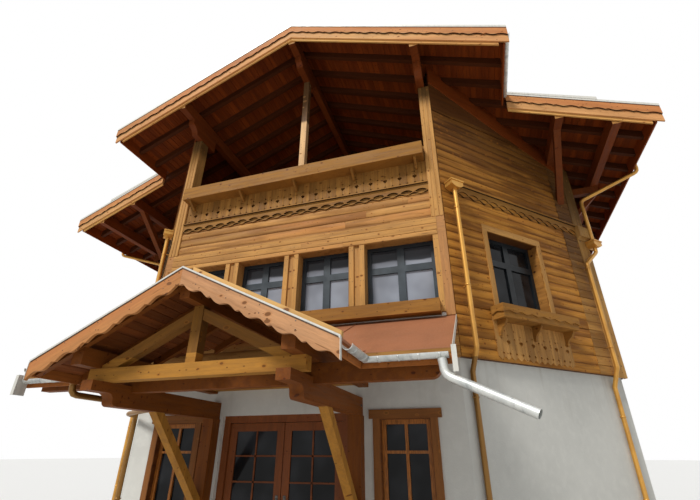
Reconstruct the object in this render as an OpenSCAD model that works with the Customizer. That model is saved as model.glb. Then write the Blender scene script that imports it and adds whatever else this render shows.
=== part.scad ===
// Alpine chalet. A plastered ground storey carries a timber storey with two
// slanting corner walls, and a recessed balcony lies under one wide gable
// roof whose front edge steps back at the sides. A gabled porch grows out of
// a sheet metal pent roof over the entrance.
// The origin is on the underside of the ground slab, at the middle of the
// plan, with +X along the front to the right and +Y into the building.

/* [Body] */
// Width over the two side walls
body_w = 10420; // [9800:10:11600]
// Depth from the front wall to the back wall
body_d = 8000; // [7000:10:9000]
// Plan length of a slanting corner wall, along and across the front
cant = 2590; // [2300:10:2800]
// Height of the plastered storey, ground to timber
ground_h = 2940; // [2800:10:3200]
// Height of the balcony floor above the ground
attic_h = 5650; // [5500:10:6000]
// Thickness of the ground slab
slab_t = 120; // [80:5:200]
// Thickness of the masonry walls
stone_wall_t = 300; // [240:5:400]
// Thickness of the timber walls
timber_wall_t = 240; // [180:5:300]
// Distance from the timber face back to the plaster face
plaster_set = 70; // [30:5:100]
// Thickness of the floors above the ground
floor_t = 200; // [160:5:260]
// Depth of the recessed balcony
loggia_d = 3200; // [2800:10:3600]
// Thickness of the wall behind the balcony
loggia_wall_t = 120; // [80:5:160]

/* [Main roof] */
// Height of the ridge above the ground
ridge_h = 9865; // [9600:5:10400]
// Pitch of the main roof
pitch = 23.9; // [22:0.1:26]
// Half width of the forward middle part of the roof
upper_half_w = 4010; // [3800:10:4300]
// Half width of the whole roof
eave_half_w = 6315; // [6200:5:6700]
// Overhang of the middle part in front of the front wall
front_overhang = 825; // [600:5:1000]
// Distance from the front wall back to the side parts' front edge
step_back = 650; // [400:10:900]
// Overhang behind the back wall
back_overhang = 825; // [500:5:1000]
// Upright thickness of the roof sheet and battens
sheet_v = 45; // [30:1:60]
// Upright thickness of the roof boards
boards_v = 35; // [20:1:50]
// Upright depth of a rafter
rafter_v = 150; // [120:5:180]
// Width of a rafter
rafter_w = 80; // [60:5:120]
// Spacing of the rafters
rafter_gap = 485; // [400:5:700]
// Width of a purlin
purlin_w = 140; // [120:5:180]
// Height of a purlin
purlin_h = 240; // [200:5:280]
// Height of the bolster under a purlin at the front
bolster_h = 300; // [200:5:340]
// Reach of the bolsters in front of the front wall
bolster_reach = 400; // [250:10:550]
// Thickness of one layer of a bargeboard
barge_t = 28; // [20:1:35]
// Upright depth of the scalloped upper board
barge_upper_v = 205; // [160:5:240]
// Upright depth of the second board
barge_lower_v = 340; // [300:5:360]
// Upright depth of the inner board
barge_inner_v = 395; // [370:5:430]
// Length of one scallop of the bargeboards
barge_scallop = 365; // [300:5:500]

/* [Balcony] */
// Height of the parapet above the balcony floor
parapet_h = 920; // [850:10:1050]
// Thickness of the parapet boards
parapet_t = 25; // [20:1:35]
// Spacing of the pierced joints in the parapet
board_w = 130; // [110:5:160]
// Height of the scalloped trim
trim_h = 190; // [150:5:220]
// Length of one wave of the trim
trim_wave = 240; // [200:10:300]
// Thickness of the trim
trim_t = 32; // [24:1:40]
// Side of the middle post
centre_post_w = 120; // [90:5:150]
// Width of the corner posts above the header
corner_post_w = 200; // [160:5:240]
// Thickness of boards laid over the walls
cover_board_t = 30; // [20:1:40]

/* [Porch] */
// Height of the porch ridge and of the pent roof at the wall
porch_ridge_h = 3520; // [3450:5:3550]
// Height of the porch and pent eaves
porch_eave_h = 2650; // [2600:5:2750]
// Half width of the porch roof
porch_half_w = 1757; // [1650:1:1850]
// Depth of the porch roof in front of the wall
porch_d = 2525; // [2300:5:2800]
// Depth of the pent roof in front of the wall
pent_d = 1865; // [1700:5:1950]
// Upright thickness of the porch sheet
porch_sheet_v = 25; // [15:1:35]
// Upright thickness of the porch boards
porch_boards_v = 30; // [20:1:40]
// Upright depth of a porch rafter
porch_rafter_v = 100; // [80:5:120]
// Distance of the side beams from the middle
side_beam_x = 1140; // [1080:5:1200]
// Width of the side beams
side_beam_w = 150; // [120:5:180]
// Height of the side beams
side_beam_h = 235; // [200:5:260]
// Height of the tie beam
tie_h = 140; // [110:5:160]

/* [Openings] */
// Half width of the entrance between the walls
door_half_w = 1000; // [900:10:1020]
// Height of the entrance opening above the ground
door_head = 2280; // [2200:10:2400]
// Width of the door frame's posts
door_post_w = 100; // [80:5:120]
// Depth of the rebate in front of a leaf
door_rebate = 35; // [20:1:60]
// Thickness of a door leaf
leaf_t = 50; // [40:1:60]
// Clearance between a leaf and the frame
leaf_gap = 6; // [5:1:10]
// Clearance between the two leaves
meeting_gap = 10; // [10:1:14]
// Half width of the middle post between the front windows
pier_half_w = 132; // [110:1:160]
// Inner edge of the outer pair of posts
pier_in_x = 1035; // [1000:5:1080]
// Outer edge of the outer pair of posts
pier_out_x = 1298; // [1250:1:1350]
// Outer edge of the outer windows
window_out_x = 2410; // [2350:5:2440]
// Height of the front window sills above the ground
upper_sill_h = 3580; // [3560:5:3700]
// Drop from the balcony floor to the front window heads
head_drop = 820; // [700:5:900]
// Depth of the window reveals
reveal_d = 170; // [100:5:170]
// Width of a window frame's members
frame_w = 68; // [45:1:75]
// Depth of a window frame
frame_d = 70; // [50:5:90]
// Thickness of the glass
glass_t = 12; // [8:1:20]

/* [Rainwater] */
// Radius of the roof gutters
gutter_r = 55; // [45:1:65]
// Wall of the gutters
gutter_t = 4; // [3:1:6]
// Radius of the downpipes
pipe_r = 36; // [30:1:45]
// Radius of the zinc spout
spout_r = 42; // [35:1:50]

/* [Hidden] */
$fn = 32;
// An overrun that makes a cut pass both faces
cut = 50;
// Play between sloping faces that bear on one another
seat = 0.2;
// Top of the space in which walls are cut to the roof
sky = ridge_h * 1.1;

// Plan of the timber walls, anticlockwise from the front's left corner
half_front = body_w / 2 - cant;
half_body = body_w / 2;
outline = [
    [-half_front, 0], [half_front, 0], [half_body, cant],
    [half_body, body_d], [-half_body, body_d], [-half_body, cant],
];
FRONT = 0;
CANT = 1;
SIDE = 2;
BACK = 3;
cant_len = cant * sqrt(2);

// Roof planes
k = tan(pitch);
skin_v = sheet_v + boards_v;
frame_v = skin_v + rafter_v;
barge_all_t = 3 * barge_t;
verge_y = -front_overhang + barge_all_t;
step_y = step_back + barge_all_t;
back_y = body_d + back_overhang - barge_all_t;
purlin_mid_x = half_front - 150;
purlin_cant_x = half_body - 360;
// The outer purlin's place in the side overhang, from the wall outwards
outer_purlin_share = 0.4344;
purlin_outer_x = half_body + outer_purlin_share * (eave_half_w - half_body);

// Colours of the finishes
golden_timber = [0.80, 0.58, 0.32];
weathered_timber = [0.62, 0.43, 0.22];
dark_timber = [0.36, 0.19, 0.09];
orange_timber = [0.78, 0.50, 0.24];
plaster_white = [0.90, 0.89, 0.86];
sheet_brown = [0.52, 0.28, 0.21];
zinc_grey = [0.72, 0.74, 0.76];
copper_gold = [0.72, 0.44, 0.15];
slate_grey = [0.22, 0.26, 0.29];

function unit(v) = v / norm(v);
function left_of(v) = [-v.y, v.x];

// Height of the main roof's top at a distance from the ridge
function roof_z(x) = ridge_h - k * abs(x);
// Height of the rafters' underside
function under_z(x) = roof_z(x) - frame_v - seat;
// Top of a purlin, which the rafters are notched over
function purlin_top(x) = under_z(x) + (x == 0 ? 0 : k * purlin_w / 2);

// Corner i of the plan, moved inwards by t
function corner(i, t) =
    let (
        n = len(outline),
        p = outline[i % n],
        a = left_of(unit(p - outline[(i + n - 1) % n])),
        b = left_of(unit(outline[(i + 1) % n] - p))
    )
    p + t * (a + b) / (1 + a * b);
function plan(t) = [for (i = [0:len(outline) - 1]) corner(i, t)];

// The building stands with the middle of its plan over the origin
module on_plan() {
    translate([0, -body_d / 2, 0])
        children();
}

module both_sides() {
    children();
    mirror([1, 0, 0])
        children();
}

// Frame of wall i: x along the wall from its first corner, y into the building
module on_wall(i) {
    a = outline[i];
    d = outline[(i + 1) % len(outline)] - a;
    translate([a.x, a.y, 0])
        rotate([0, 0, atan2(d.y, d.x)])
            children();
}

// Box from one corner to the opposite one
module block(a, b) {
    translate(a)
        cube(b - a);
}

// An outline in x and z, drawn out along y
module across(y0, y1) {
    translate([0, y1, 0])
        rotate([90, 0, 0])
            linear_extrude(y1 - y0)
                children();
}

// An outline in y and z, drawn out along x
module along(x0, x1) {
    translate([x0, 0, 0])
        rotate([90, 0, 90])
            linear_extrude(x1 - x0)
                children();
}

// A band that follows the roof slope between two depths below its top
module slope_band(x0, x1, d0, d1, y0, y1) {
    across(y0, y1)
        polygon([
            [x0, roof_z(x0) - d1], [x1, roof_z(x1) - d1],
            [x1, roof_z(x1) - d0], [x0, roof_z(x0) - d0],
        ]);
}

// A wall between two depths and two heights
module wall_block(i, z0, z1, t0, t1) {
    translate([0, 0, z0])
        linear_extrude(z1 - z0)
            polygon([corner(i, t0), corner(i + 1, t0), corner(i + 1, t1), corner(i, t1)]);
}

// Everything above the rafters' underside
module above_rafters() {
    across(-body_d, 2 * body_d)
        polygon([
            [-body_w, under_z(body_w)], [0, under_z(0)], [body_w, under_z(body_w)],
            [body_w, sky], [-body_w, sky],
        ]);
}

// The space under the rafters
module below_rafters() {
    across(-body_d, 2 * body_d)
        polygon([
            [-body_w, 0], [body_w, 0],
            [body_w, under_z(body_w)], [0, under_z(0)], [-body_w, under_z(body_w)],
        ]);
}

// A straight pipe between two points
module pipe_run(a, b, r) {
    d = b - a;
    translate(a)
        rotate([0, acos(d.z / norm(d)), atan2(d.y, d.x)])
            cylinder(h = norm(d), r = r);
}

// Radius of a pipe's bends, in radii of the pipe
bend = 2.5;
function leg(route, i) = unit(route[i + 1] - route[i]);

// Points of a route, each of its corners rounded off in three steps
function rounded(route, r) = [
    route[0],
    for (i = [1:1:len(route) - 2], t = [0, 1 / 3, 2 / 3, 1])
        let (
            p = route[i],
            reach = bend * r * tan(acos(leg(route, i - 1) * leg(route, i)) / 2),
            a = p - leg(route, i - 1) * reach,
            b = p + leg(route, i) * reach
        )
        (1 - t) * (1 - t) * a + 2 * t * (1 - t) * p + t * t * b,
    route[len(route) - 1],
];

// A pipe along a route with rounded corners, its pieces joined by narrow rings
module pipe_route(route, r) {
    path = rounded(route, r);
    for (i = [0:len(path) - 2])
        pipe_run(path[i], path[i + 1], r);
    for (i = [1:1:len(path) - 2])
        translate(path[i])
            sphere(r = r * 1.02);
}

// Half round gutter profile, its rim at the origin's height
module gutter_profile(r) {
    difference() {
        circle(r = r);
        circle(r = r - gutter_t);
        translate([-2 * r, 0])
            square([4 * r, 2 * r]);
    }
}

// GROUND STOREY

module ground_slab() {
    color(plaster_white)
        on_plan()
            linear_extrude(slab_t)
                polygon(plan(plaster_set));
}

// Ground windows in the front wall, measured from the middle
ground_window_x0 = 1453;
ground_window_x1 = 2135;
ground_window_sill = 1000;
ground_window_head = 2190;
// Windows of the sides and the back
plain_window_w = 1000;
stone_in = plaster_set + stone_wall_t;

module plain_window_cuts(centres, z0, z1) {
    for (x = centres)
        block([x - plain_window_w / 2, -cut, z0], [x + plain_window_w / 2, stone_in + cut, z1]);
}

side_len = body_d - cant;
side_windows = [side_len * 0.3, side_len * 0.72];
back_windows = [body_w * 0.2, body_w * 0.5, body_w * 0.8];

module ground_front_wall() {
    color(plaster_white)
        on_plan()
            both_sides()
                difference() {
                    wall_block(FRONT, slab_t, ground_h, plaster_set, stone_in);
                    block([-body_w, -cut, 0], [door_half_w, body_d, sky]);
                    block([ground_window_x0, -cut, ground_window_sill],
                        [ground_window_x1, stone_in + cut, ground_window_head]);
                }
}

module ground_wall_over_door() {
    color(plaster_white)
        on_plan()
            block([-door_half_w, plaster_set, door_head], [door_half_w, stone_in, ground_h]);
}

module ground_cant_walls() {
    color(plaster_white)
        on_plan()
            both_sides()
                wall_block(CANT, slab_t, ground_h, plaster_set, stone_in);
}

module ground_side_walls() {
    color(plaster_white)
        on_plan()
            both_sides()
                difference() {
                    wall_block(SIDE, slab_t, ground_h, plaster_set, stone_in);
                    on_wall(SIDE)
                        plain_window_cuts(side_windows, ground_window_sill, ground_window_head);
                }
}

module ground_back_wall() {
    color(plaster_white)
        on_plan()
            difference() {
                wall_block(BACK, slab_t, ground_h, plaster_set, stone_in);
                on_wall(BACK)
                    plain_window_cuts(back_windows, ground_window_sill, ground_window_head);
            }
}

module upper_floor() {
    color(golden_timber)
        on_plan()
            translate([0, 0, ground_h - floor_t])
                linear_extrude(floor_t)
                    polygon(plan(stone_in));
}

// TIMBER STOREY

// Cant windows, measured along the wall from the front corner
cant_window_s0 = 870;
cant_window_s1 = 2060;
cant_sill_h = 3760;
cant_head_drop = 560;
cant_head_h = attic_h - cant_head_drop;

upper_head_h = attic_h - head_drop;

// Window openings of the front, as pairs of edges
front_windows = [
    [-window_out_x, -pier_out_x], [-pier_in_x, -pier_half_w],
    [pier_half_w, pier_in_x], [pier_out_x, window_out_x],
];

module timber_block(i) {
    wall_block(i, ground_h, sky, 0, timber_wall_t);
}

// What the roof timbers take out of the walls
module roof_timber_cuts() {
    above_rafters();
    for (x = [-purlin_outer_x, -purlin_cant_x, -purlin_mid_x, 0,
            purlin_mid_x, purlin_cant_x, purlin_outer_x])
        purlin_bar(x, 0);
    both_sides()
        bolster_bar(purlin_mid_x);
}

module upper_front_wall() {
    color(golden_timber)
        on_plan()
            difference() {
                wall_block(FRONT, ground_h, attic_h, 0, timber_wall_t);
                for (w = front_windows)
                    block([w[0], -cut, upper_sill_h], [w[1], timber_wall_t + cut, upper_head_h]);
            }
}

module upper_cant_walls() {
    color(weathered_timber)
        on_plan()
            both_sides()
                difference() {
                    timber_block(CANT);
                    roof_timber_cuts();
                    on_wall(CANT)
                        block([cant_window_s0, -cut, cant_sill_h],
                            [cant_window_s1, timber_wall_t + cut, cant_head_h]);
                }
}

module upper_side_walls() {
    color(weathered_timber)
        on_plan()
            both_sides()
                difference() {
                    timber_block(SIDE);
                    roof_timber_cuts();
                    on_wall(SIDE)
                        plain_window_cuts(side_windows, upper_sill_h, upper_head_h);
                }
}

// Attic windows of the back gable
attic_windows = [body_w * 0.38, body_w * 0.62];
attic_window_sill = 850;
attic_window_h = 1100;
attic_sill_h = attic_h + attic_window_sill;
attic_head_h = attic_sill_h + attic_window_h;

module upper_back_wall() {
    color(weathered_timber)
        on_plan()
            difference() {
                timber_block(BACK);
                roof_timber_cuts();
                on_wall(BACK) {
                    plain_window_cuts(back_windows, upper_sill_h, upper_head_h);
                    plain_window_cuts(attic_windows, attic_sill_h, attic_head_h);
                }
            }
}

module attic_floor() {
    color(golden_timber)
        on_plan()
            translate([0, 0, attic_h - floor_t])
                linear_extrude(floor_t)
                    polygon(plan(timber_wall_t));
}

// Balcony door in the wall behind the balcony, a little smaller than the entrance
loggia_door_half = 0.85 * door_half_w;
loggia_door_head = attic_h + 0.9 * door_head;

module loggia_wall() {
    color(dark_timber)
        on_plan()
            difference() {
                intersection() {
                    translate([0, 0, attic_h])
                        linear_extrude(sky)
                            polygon(plan(timber_wall_t));
                    block([-body_w, loggia_d, attic_h], [body_w, loggia_d + loggia_wall_t, sky]);
                }
                above_rafters();
                for (x = [-purlin_cant_x, -purlin_mid_x, 0, purlin_mid_x, purlin_cant_x])
                    purlin_bar(x, 0);
                block([-loggia_door_half, loggia_d - cut, attic_h - cut],
                    [loggia_door_half, loggia_d + loggia_wall_t + cut, loggia_door_head]);
            }
}

// The header board of the front meets the corner posts' seam here
header_h = 320;
seam_h = upper_head_h + header_h;
lower_corner_board_w = half_front - window_out_x - 80;

module corner_post() {
    post_top = purlin_top(purlin_mid_x) - purlin_h - bolster_h;
    inner = corner(1, corner_post_w) - [seat, 0];
    translate([0, 0, attic_h])
        linear_extrude(post_top - attic_h)
            polygon([
                [half_front - corner_post_w, 0], [half_front - seat, 0],
                inner, [half_front - corner_post_w, corner_post_w],
            ]);
    block([half_front - corner_post_w, -cover_board_t, seam_h], [half_front, 0, post_top]);
    block([half_front - lower_corner_board_w, -cover_board_t, porch_ridge_h], [half_front, 0, seam_h]);
}

module corner_posts() {
    color(golden_timber)
        on_plan()
            both_sides()
                corner_post();
}

pier_board_w = 82;

// A pair of boards laid on a pier, with the wall showing between them
module pier_boards(x0, x1) {
    for (x = [x0, x1 - pier_board_w])
        block([x, -cover_board_t, upper_sill_h], [x + pier_board_w, 0, upper_head_h]);
}

module front_posts() {
    color(golden_timber)
        on_plan() {
            pier_boards(-pier_half_w, pier_half_w);
            both_sides() {
                pier_boards(pier_in_x, pier_out_x);
                block([window_out_x, -cover_board_t, upper_sill_h],
                    [half_front - lower_corner_board_w, 0, upper_head_h]);
            }
            block([-half_front + lower_corner_board_w, -cover_board_t, upper_head_h],
                [half_front - lower_corner_board_w, 0, seam_h]);
        }
}

far_board_w = 300;
corbel_h = 290;
corbel_d = 80;

module far_corner_boards() {
    color(golden_timber)
        on_plan()
            both_sides()
                intersection() {
                    on_wall(CANT) {
                        block([cant_len - far_board_w, -cover_board_t, ground_h - 20],
                            [cant_len, 0, ridge_h]);
                        along(cant_len - far_board_w, cant_len)
                            difference() {
                                translate([-cover_board_t - corbel_d, trim_top - corbel_h])
                                    square([corbel_d, corbel_h]);
                                translate([-cover_board_t - corbel_d, trim_top - corbel_h])
                                    circle(r = corbel_d * 0.8);
                            }
                    }
                    below_rafters();
                }
}

centre_post_y = 100;
ridge_bolster_h = 200;

module centre_post() {
    color(golden_timber)
        on_plan()
            block([-centre_post_w / 2, centre_post_y, attic_h],
                [centre_post_w / 2, centre_post_y + centre_post_w,
                purlin_top(0) - purlin_h - ridge_bolster_h]);
}

// BALCONY

trim_low = attic_h - 10;
trim_top = trim_low + trim_h;
rail_bead = 22;
rail_top_t = 60;
parapet_top = attic_h + parapet_h;
parapet_half = half_front - corner_post_w;

// Heart outline, its width about twice the lobe radius and a half
module heart(r) {
    rotate(45)
        union() {
            square([2 * r, 2 * r], center = true);
            translate([r, 0])
                circle(r = r);
            translate([0, r])
                circle(r = r);
        }
}

module diamond(s) {
    rotate(45)
        square([s, s], center = true);
}

// Row of hearts and diamonds over the joints of vertical boards
module piercings(x0, x1, low, mid) {
    joints = floor((x1 - x0) / board_w) - 1;
    start = (x0 + x1) / 2 - joints * board_w / 2;
    for (j = [0:joints]) {
        x = start + j * board_w;
        translate([x, low])
            diamond(34);
        if (j % 2 == 1) {
            translate([x, mid])
                heart(22);
            translate([x, mid + 110])
                diamond(26);
        } else {
            translate([x, mid + 60])
                diamond(26);
        }
    }
}

rail_d = 60;

module balcony_parapet() {
    color(golden_timber)
        on_plan() {
            across(0, parapet_t)
                difference() {
                    translate([-parapet_half, attic_h])
                        square([2 * parapet_half, parapet_h]);
                    piercings(-parapet_half, parapet_half, trim_top + 70, trim_top + 190);
                }
            block([-parapet_half, -10, parapet_top],
                [parapet_half, centre_post_y, parapet_top + rail_top_t]);
            for (z = [attic_h + 60, parapet_top - 160])
                block([-parapet_half, parapet_t, z], [parapet_half, parapet_t + rail_d, z + 80]);
        }
}

// A board whose lower edge is a row of waves
function wave_edge(x0, x1, z, amp, wave, phase, step) = [
    for (i = [0:ceil((x1 - x0) / step)])
        let (x = min(x0 + i * step, x1))
        [x, z + amp * cos(360 * (x - x0) / wave + phase)]
];

module wavy_board(x0, x1, z_low, z_top, amp, wave, phase) {
    polygon(concat(
        wave_edge(x0, x1, z_low, amp, wave, phase, wave / 12),
        [[x1, z_top], [x0, z_top]]
    ));
}

// Eye shaped opening, w wide and h high
module eye(w, h) {
    r = (w * w / 4 + h * h / 4) / h;
    intersection() {
        translate([0, h / 2 - r])
            circle(r = r, $fn = 96);
        translate([0, r - h / 2])
            circle(r = r, $fn = 96);
    }
}

trim_amp = 22;
trim_eye_h = 80;

// Trim board with a row of eyes over a scalloped lower edge, and a rail on top
module trim_run(x0, x1) {
    n = round((x1 - x0) / trim_wave);
    wave = (x1 - x0) / n;
    across(-trim_t, 0)
        difference() {
            wavy_board(x0, x1, trim_low + trim_amp, trim_top, trim_amp, wave, 0);
            for (i = [0:n - 1])
                translate([x0 + (i + 0.5) * wave, trim_low + trim_eye_h * 0.75])
                    eye(wave * 0.84, trim_eye_h);
        }
    block([x0, -2 * trim_t, trim_top], [x1, 0, trim_top + rail_bead]);
}

module scalloped_trim() {
    color(golden_timber)
        on_plan() {
            trim_run(-parapet_half, parapet_half);
            both_sides()
                on_wall(CANT)
                    trim_run(120, cant_len - far_board_w);
        }
}

box_wall = 20;
balcony_box_h = 260;
balcony_box_d = 240;
balcony_box_half = parapet_half - 20;

// How far the soil in a box lies under its rim
soil_drop = 45;

// An open trough with its back at y = 0, or the soil that fills it
module trough(x0, x1, d, z0, h, soil) {
    in = [x0 + box_wall, -d + box_wall, z0 + box_wall];
    if (soil)
        block(in, [x1 - box_wall, -box_wall, z0 + h - soil_drop]);
    else
        difference() {
            block([x0, -d, z0], [x1, 0, z0 + h]);
            block(in, [x1 - box_wall, -box_wall, z0 + h + cut]);
        }
}

cant_box_s0 = 680;
cant_box_s1 = 2330;
cant_box_low = 3530;
cant_box_h = 200;
cant_box_d = 220;
front_box_x0 = 90;
front_box_x1 = 2430;
front_box_d = 200;
front_box_h = 190;
rim_t = 20;
rim_drop = 110;

// Carved rim boards round the top of a trough, their lower edges waved
module box_rim(x0, x1, d, z_top) {
    low = z_top - rim_drop;
    waves = round((x1 - x0) / trim_wave);
    across(-d - rim_t, -d)
        wavy_board(x0 - rim_t, x1 + rim_t, low, z_top, 14, (x1 - x0 + 2 * rim_t) / waves, 180);
    for (x = [x0 - rim_t, x1])
        along(x, x + rim_t)
            wavy_board(-d, 0, low, z_top, 14, d, 180);
}

// Bracket with a hollowed front under a box
module box_bracket(x, d, z_top, h) {
    along(x - 20, x + 20)
        difference() {
            polygon([[0, z_top], [-d, z_top], [-d, z_top - 30], [-30, z_top - h], [0, z_top - h]]);
            translate([-d, z_top - h])
                circle(r = h * 0.62);
        }
}

balcony_box_low = parapet_top - balcony_box_h;

module troughs(soil) {
    trough(-balcony_box_half, balcony_box_half, balcony_box_d, balcony_box_low, balcony_box_h, soil);
    both_sides() {
        translate([0, -cover_board_t, 0])
            trough(front_box_x0, front_box_x1, front_box_d, porch_ridge_h + 12, front_box_h, soil);
        on_cant_boards()
            trough(cant_box_s0, cant_box_s1, cant_box_d, cant_box_low, cant_box_h, soil);
    }
}

// Frame of the face of the boards laid on a slanting wall
module on_cant_boards() {
    on_wall(CANT)
        translate([0, -cover_board_t, 0])
            children();
}

module flower_boxes() {
    color(orange_timber)
        on_plan() {
            troughs(false);
            for (i = [-2:2])
                box_bracket(i * balcony_box_half * 0.47, balcony_box_d * 0.8, balcony_box_low, 150);
            both_sides()
                on_cant_boards() {
                    box_rim(cant_box_s0, cant_box_s1, cant_box_d, cant_box_low + cant_box_h);
                    for (s = [cant_box_s0 + 90, (cant_box_s0 + cant_box_s1) / 2, cant_box_s1 - 90])
                        box_bracket(s, cant_box_d * 0.8, cant_box_low, 230);
                }
        }
}

module planting_soil() {
    color(dark_timber)
        on_plan()
            troughs(true);
}

// ROOF TIMBERS

module purlin_bar(x, y_front) {
    top = purlin_top(abs(x));
    y0 = y_front != 0 ? y_front : (abs(x) < upper_half_w ? verge_y : step_y);
    block([x - purlin_w / 2, y0, top - purlin_h], [x + purlin_w / 2, back_y, top]);
}

// A bolster with a rounded nose under the front end of a purlin
module bolster_bar(x) {
    h = x == 0 ? ridge_bolster_h : bolster_h;
    low = purlin_top(x) - purlin_h - h;
    along(x - purlin_w / 2, x + purlin_w / 2)
        difference() {
            translate([-bolster_reach, low])
                square([2 * bolster_reach, h]);
            translate([-bolster_reach, low])
                circle(r = h * 0.55);
        }
}

module purlins() {
    color(orange_timber)
        on_plan() {
            purlin_bar(0, 0);
            both_sides() {
                purlin_bar(purlin_mid_x, 0);
                purlin_bar(purlin_cant_x, 0);
                purlin_bar(purlin_outer_x, 0);
            }
        }
}

module purlin_bolsters() {
    color(orange_timber)
        on_plan() {
            bolster_bar(0);
            both_sides()
                bolster_bar(purlin_mid_x);
        }
}

strut_w = purlin_w * 6 / 7;

// A sloping strut in a plane of constant x, from a foot up to a head
module strut(x, y_foot, z_foot, y_head, z_head, w) {
    along(x - w / 2, x + w / 2)
        polygon([
            [y_foot, z_foot], [y_foot, z_foot + w * sqrt(2)],
            [y_head + w * sqrt(2), z_head], [y_head, z_head],
        ]);
}

// Arm and brace that carry the outer purlin from the side wall
module outrigger(y) {
    arm_top = purlin_top(purlin_outer_x) - purlin_h;
    arm_h = purlin_h * 5 / 8;
    reach = purlin_outer_x + purlin_w / 2;
    block([half_body, y, arm_top - arm_h], [reach, y + strut_w, arm_top]);
    rise = reach - half_body - strut_w;
    across(y, y + strut_w)
        polygon([
            [half_body, arm_top - arm_h - rise - strut_w], [half_body, arm_top - arm_h - rise],
            [half_body + rise, arm_top - arm_h], [half_body + rise + strut_w, arm_top - arm_h],
        ]);
}

module purlin_struts() {
    color(orange_timber)
        on_plan()
            both_sides() {
                head_z = purlin_top(purlin_cant_x) - purlin_h;
                wall_y = purlin_cant_x - half_front - strut_w / 2;
                drop = cant * 0.386;
                difference() {
                    strut(purlin_cant_x, wall_y, head_z - drop, wall_y - drop - strut_w, head_z, strut_w);
                    on_wall(CANT)
                        block([0, -seat, 0], [cant_len, timber_wall_t, sky]);
                }
                outrigger(cant + 3 * cover_board_t);
                outrigger(body_d - strut_w);
            }
}

// Rafter rows, the first right behind the front bargeboards
rafter_rows = floor((back_y - rafter_w - verge_y) / rafter_gap);
rafter_step = (back_y - rafter_w - verge_y) / rafter_rows;
rafter_end_upper = upper_half_w - 85;
rafter_end_lower = eave_half_w - 85;

module rafters() {
    color(orange_timber)
        on_plan()
            both_sides()
                for (i = [0:rafter_rows]) {
                    y = verge_y + i * rafter_step;
                    x_end = y < step_y ? rafter_end_upper : rafter_end_lower;
                    difference() {
                        slope_band(0.5, x_end, skin_v + seat, frame_v, y, y + rafter_w);
                        for (x = [0, purlin_mid_x, purlin_cant_x, purlin_outer_x])
                            if (y >= step_y || x < upper_half_w)
                                purlin_bar(x, y - cut);
                    }
                }
}

// A slab on one slope, stepped back at the side
module stepped_slope(d0, d1, in_x, upper_x, lower_x, front, step, back) {
    union() {
        slope_band(in_x, upper_x, d0, d1, front, back);
        slope_band(upper_x - 1, lower_x, d0, d1, step, back);
    }
}

module roof_boards() {
    color(dark_timber)
        on_plan()
            both_sides()
                stepped_slope(sheet_v + seat, skin_v, 0.5, rafter_end_upper, rafter_end_lower,
                    verge_y, step_y, back_y);
}

module roof_sheet() {
    color(sheet_brown)
        on_plan()
            both_sides()
                stepped_slope(0, sheet_v, 0.5, upper_half_w, eave_half_w,
                    verge_y, step_y, back_y);
}

ridge_cap_t = 13;
ridge_cap_half = 160;
porch_cap_half = 90;

module ridge_cap() {
    color(sheet_brown)
        on_plan() {
            across(porch_verge_y, -porch_cap_half * pent_d / porch_half_w - 10)
                ridge_fold(porch_cap_half, porch_ridge_h, kp);
            across(verge_y, back_y)
                ridge_fold(ridge_cap_half, ridge_h, k);
        }
}

// Folded metal over a ridge: half width, height and slope
module ridge_fold(w, z, slope) {
    polygon([
        [-w, z - slope * w + seat], [0, z + seat], [w, z - slope * w + seat],
        [w, z - slope * w + ridge_cap_t], [0, z + ridge_cap_t], [-w, z - slope * w + ridge_cap_t],
    ]);
}

// One carved scallop: a short steep flank, then a hollow that swings up and out to a tip
flank = 0.12;
function ogee(u) =
    u < flank ? 0 : 0.256 + 0.5 * cos(360 * ((u - flank) / (1 - flank) - 0.71) / 0.84);

// Lower edge of a board with n scallops that follows a slope, its tips on the line z_at_0
function ogee_edge(x0, x1, z_at_0, slope, n, amp) = [
    for (i = [0:n - 1], j = [0:12])
        let (u = j == 0 ? 0 : flank + (1 - flank) * (j - 1) / 12, x = x0 + (x1 - x0) * (i + u) / n)
        [x, z_at_0 - slope * x + amp * ogee(u)],
    [x1, z_at_0 - slope * x1],
];

// Three boards one behind the other on one slope, seen from the front
module barge_side(x0, x1, y) {
    across(y, y + barge_t)
        polygon(concat(
            ogee_edge(x0, x1, ridge_h - barge_upper_v + 8, k, round((x1 - x0) / barge_scallop), 30),
            [[x1, roof_z(x1) + barge_rise], [x0, roof_z(x0) + barge_rise]]
        ));
    slope_band(x0, x1, -barge_rise, barge_lower_v, y + barge_t, y + 2 * barge_t);
    slope_band(x0, x1 - 160, -barge_rise, barge_inner_v, y + 2 * barge_t, y + 3 * barge_t);
}

module bargeboards() {
    color(orange_timber)
        on_plan()
            both_sides() {
                barge_side(0.5, upper_half_w, -front_overhang);
                barge_side(upper_half_w + 15, eave_half_w + 20, step_back);
                mirror([0, 1, 0])
                    barge_side(0.5, eave_half_w + 20, -body_d - back_overhang);
            }
}

drip_t = 6;
drip_v = 40;
barge_rise = 14;

// Folded metal strip over the top of a bargeboard on one slope, with a front lip
module drip_edge(x0, x1, y, depth) {
    slope_band(x0, x1, -barge_rise - drip_t, -barge_rise - seat, y - drip_t, y + depth);
    slope_band(x0, x1, -barge_rise - drip_t, drip_v - barge_rise, y - drip_t, y);
}

// Raised strip that turns the upper gutter's water away along the lower verge
spill_x0 = upper_half_w + 20;
spill_x1 = spill_x0 + 1460;

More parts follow.
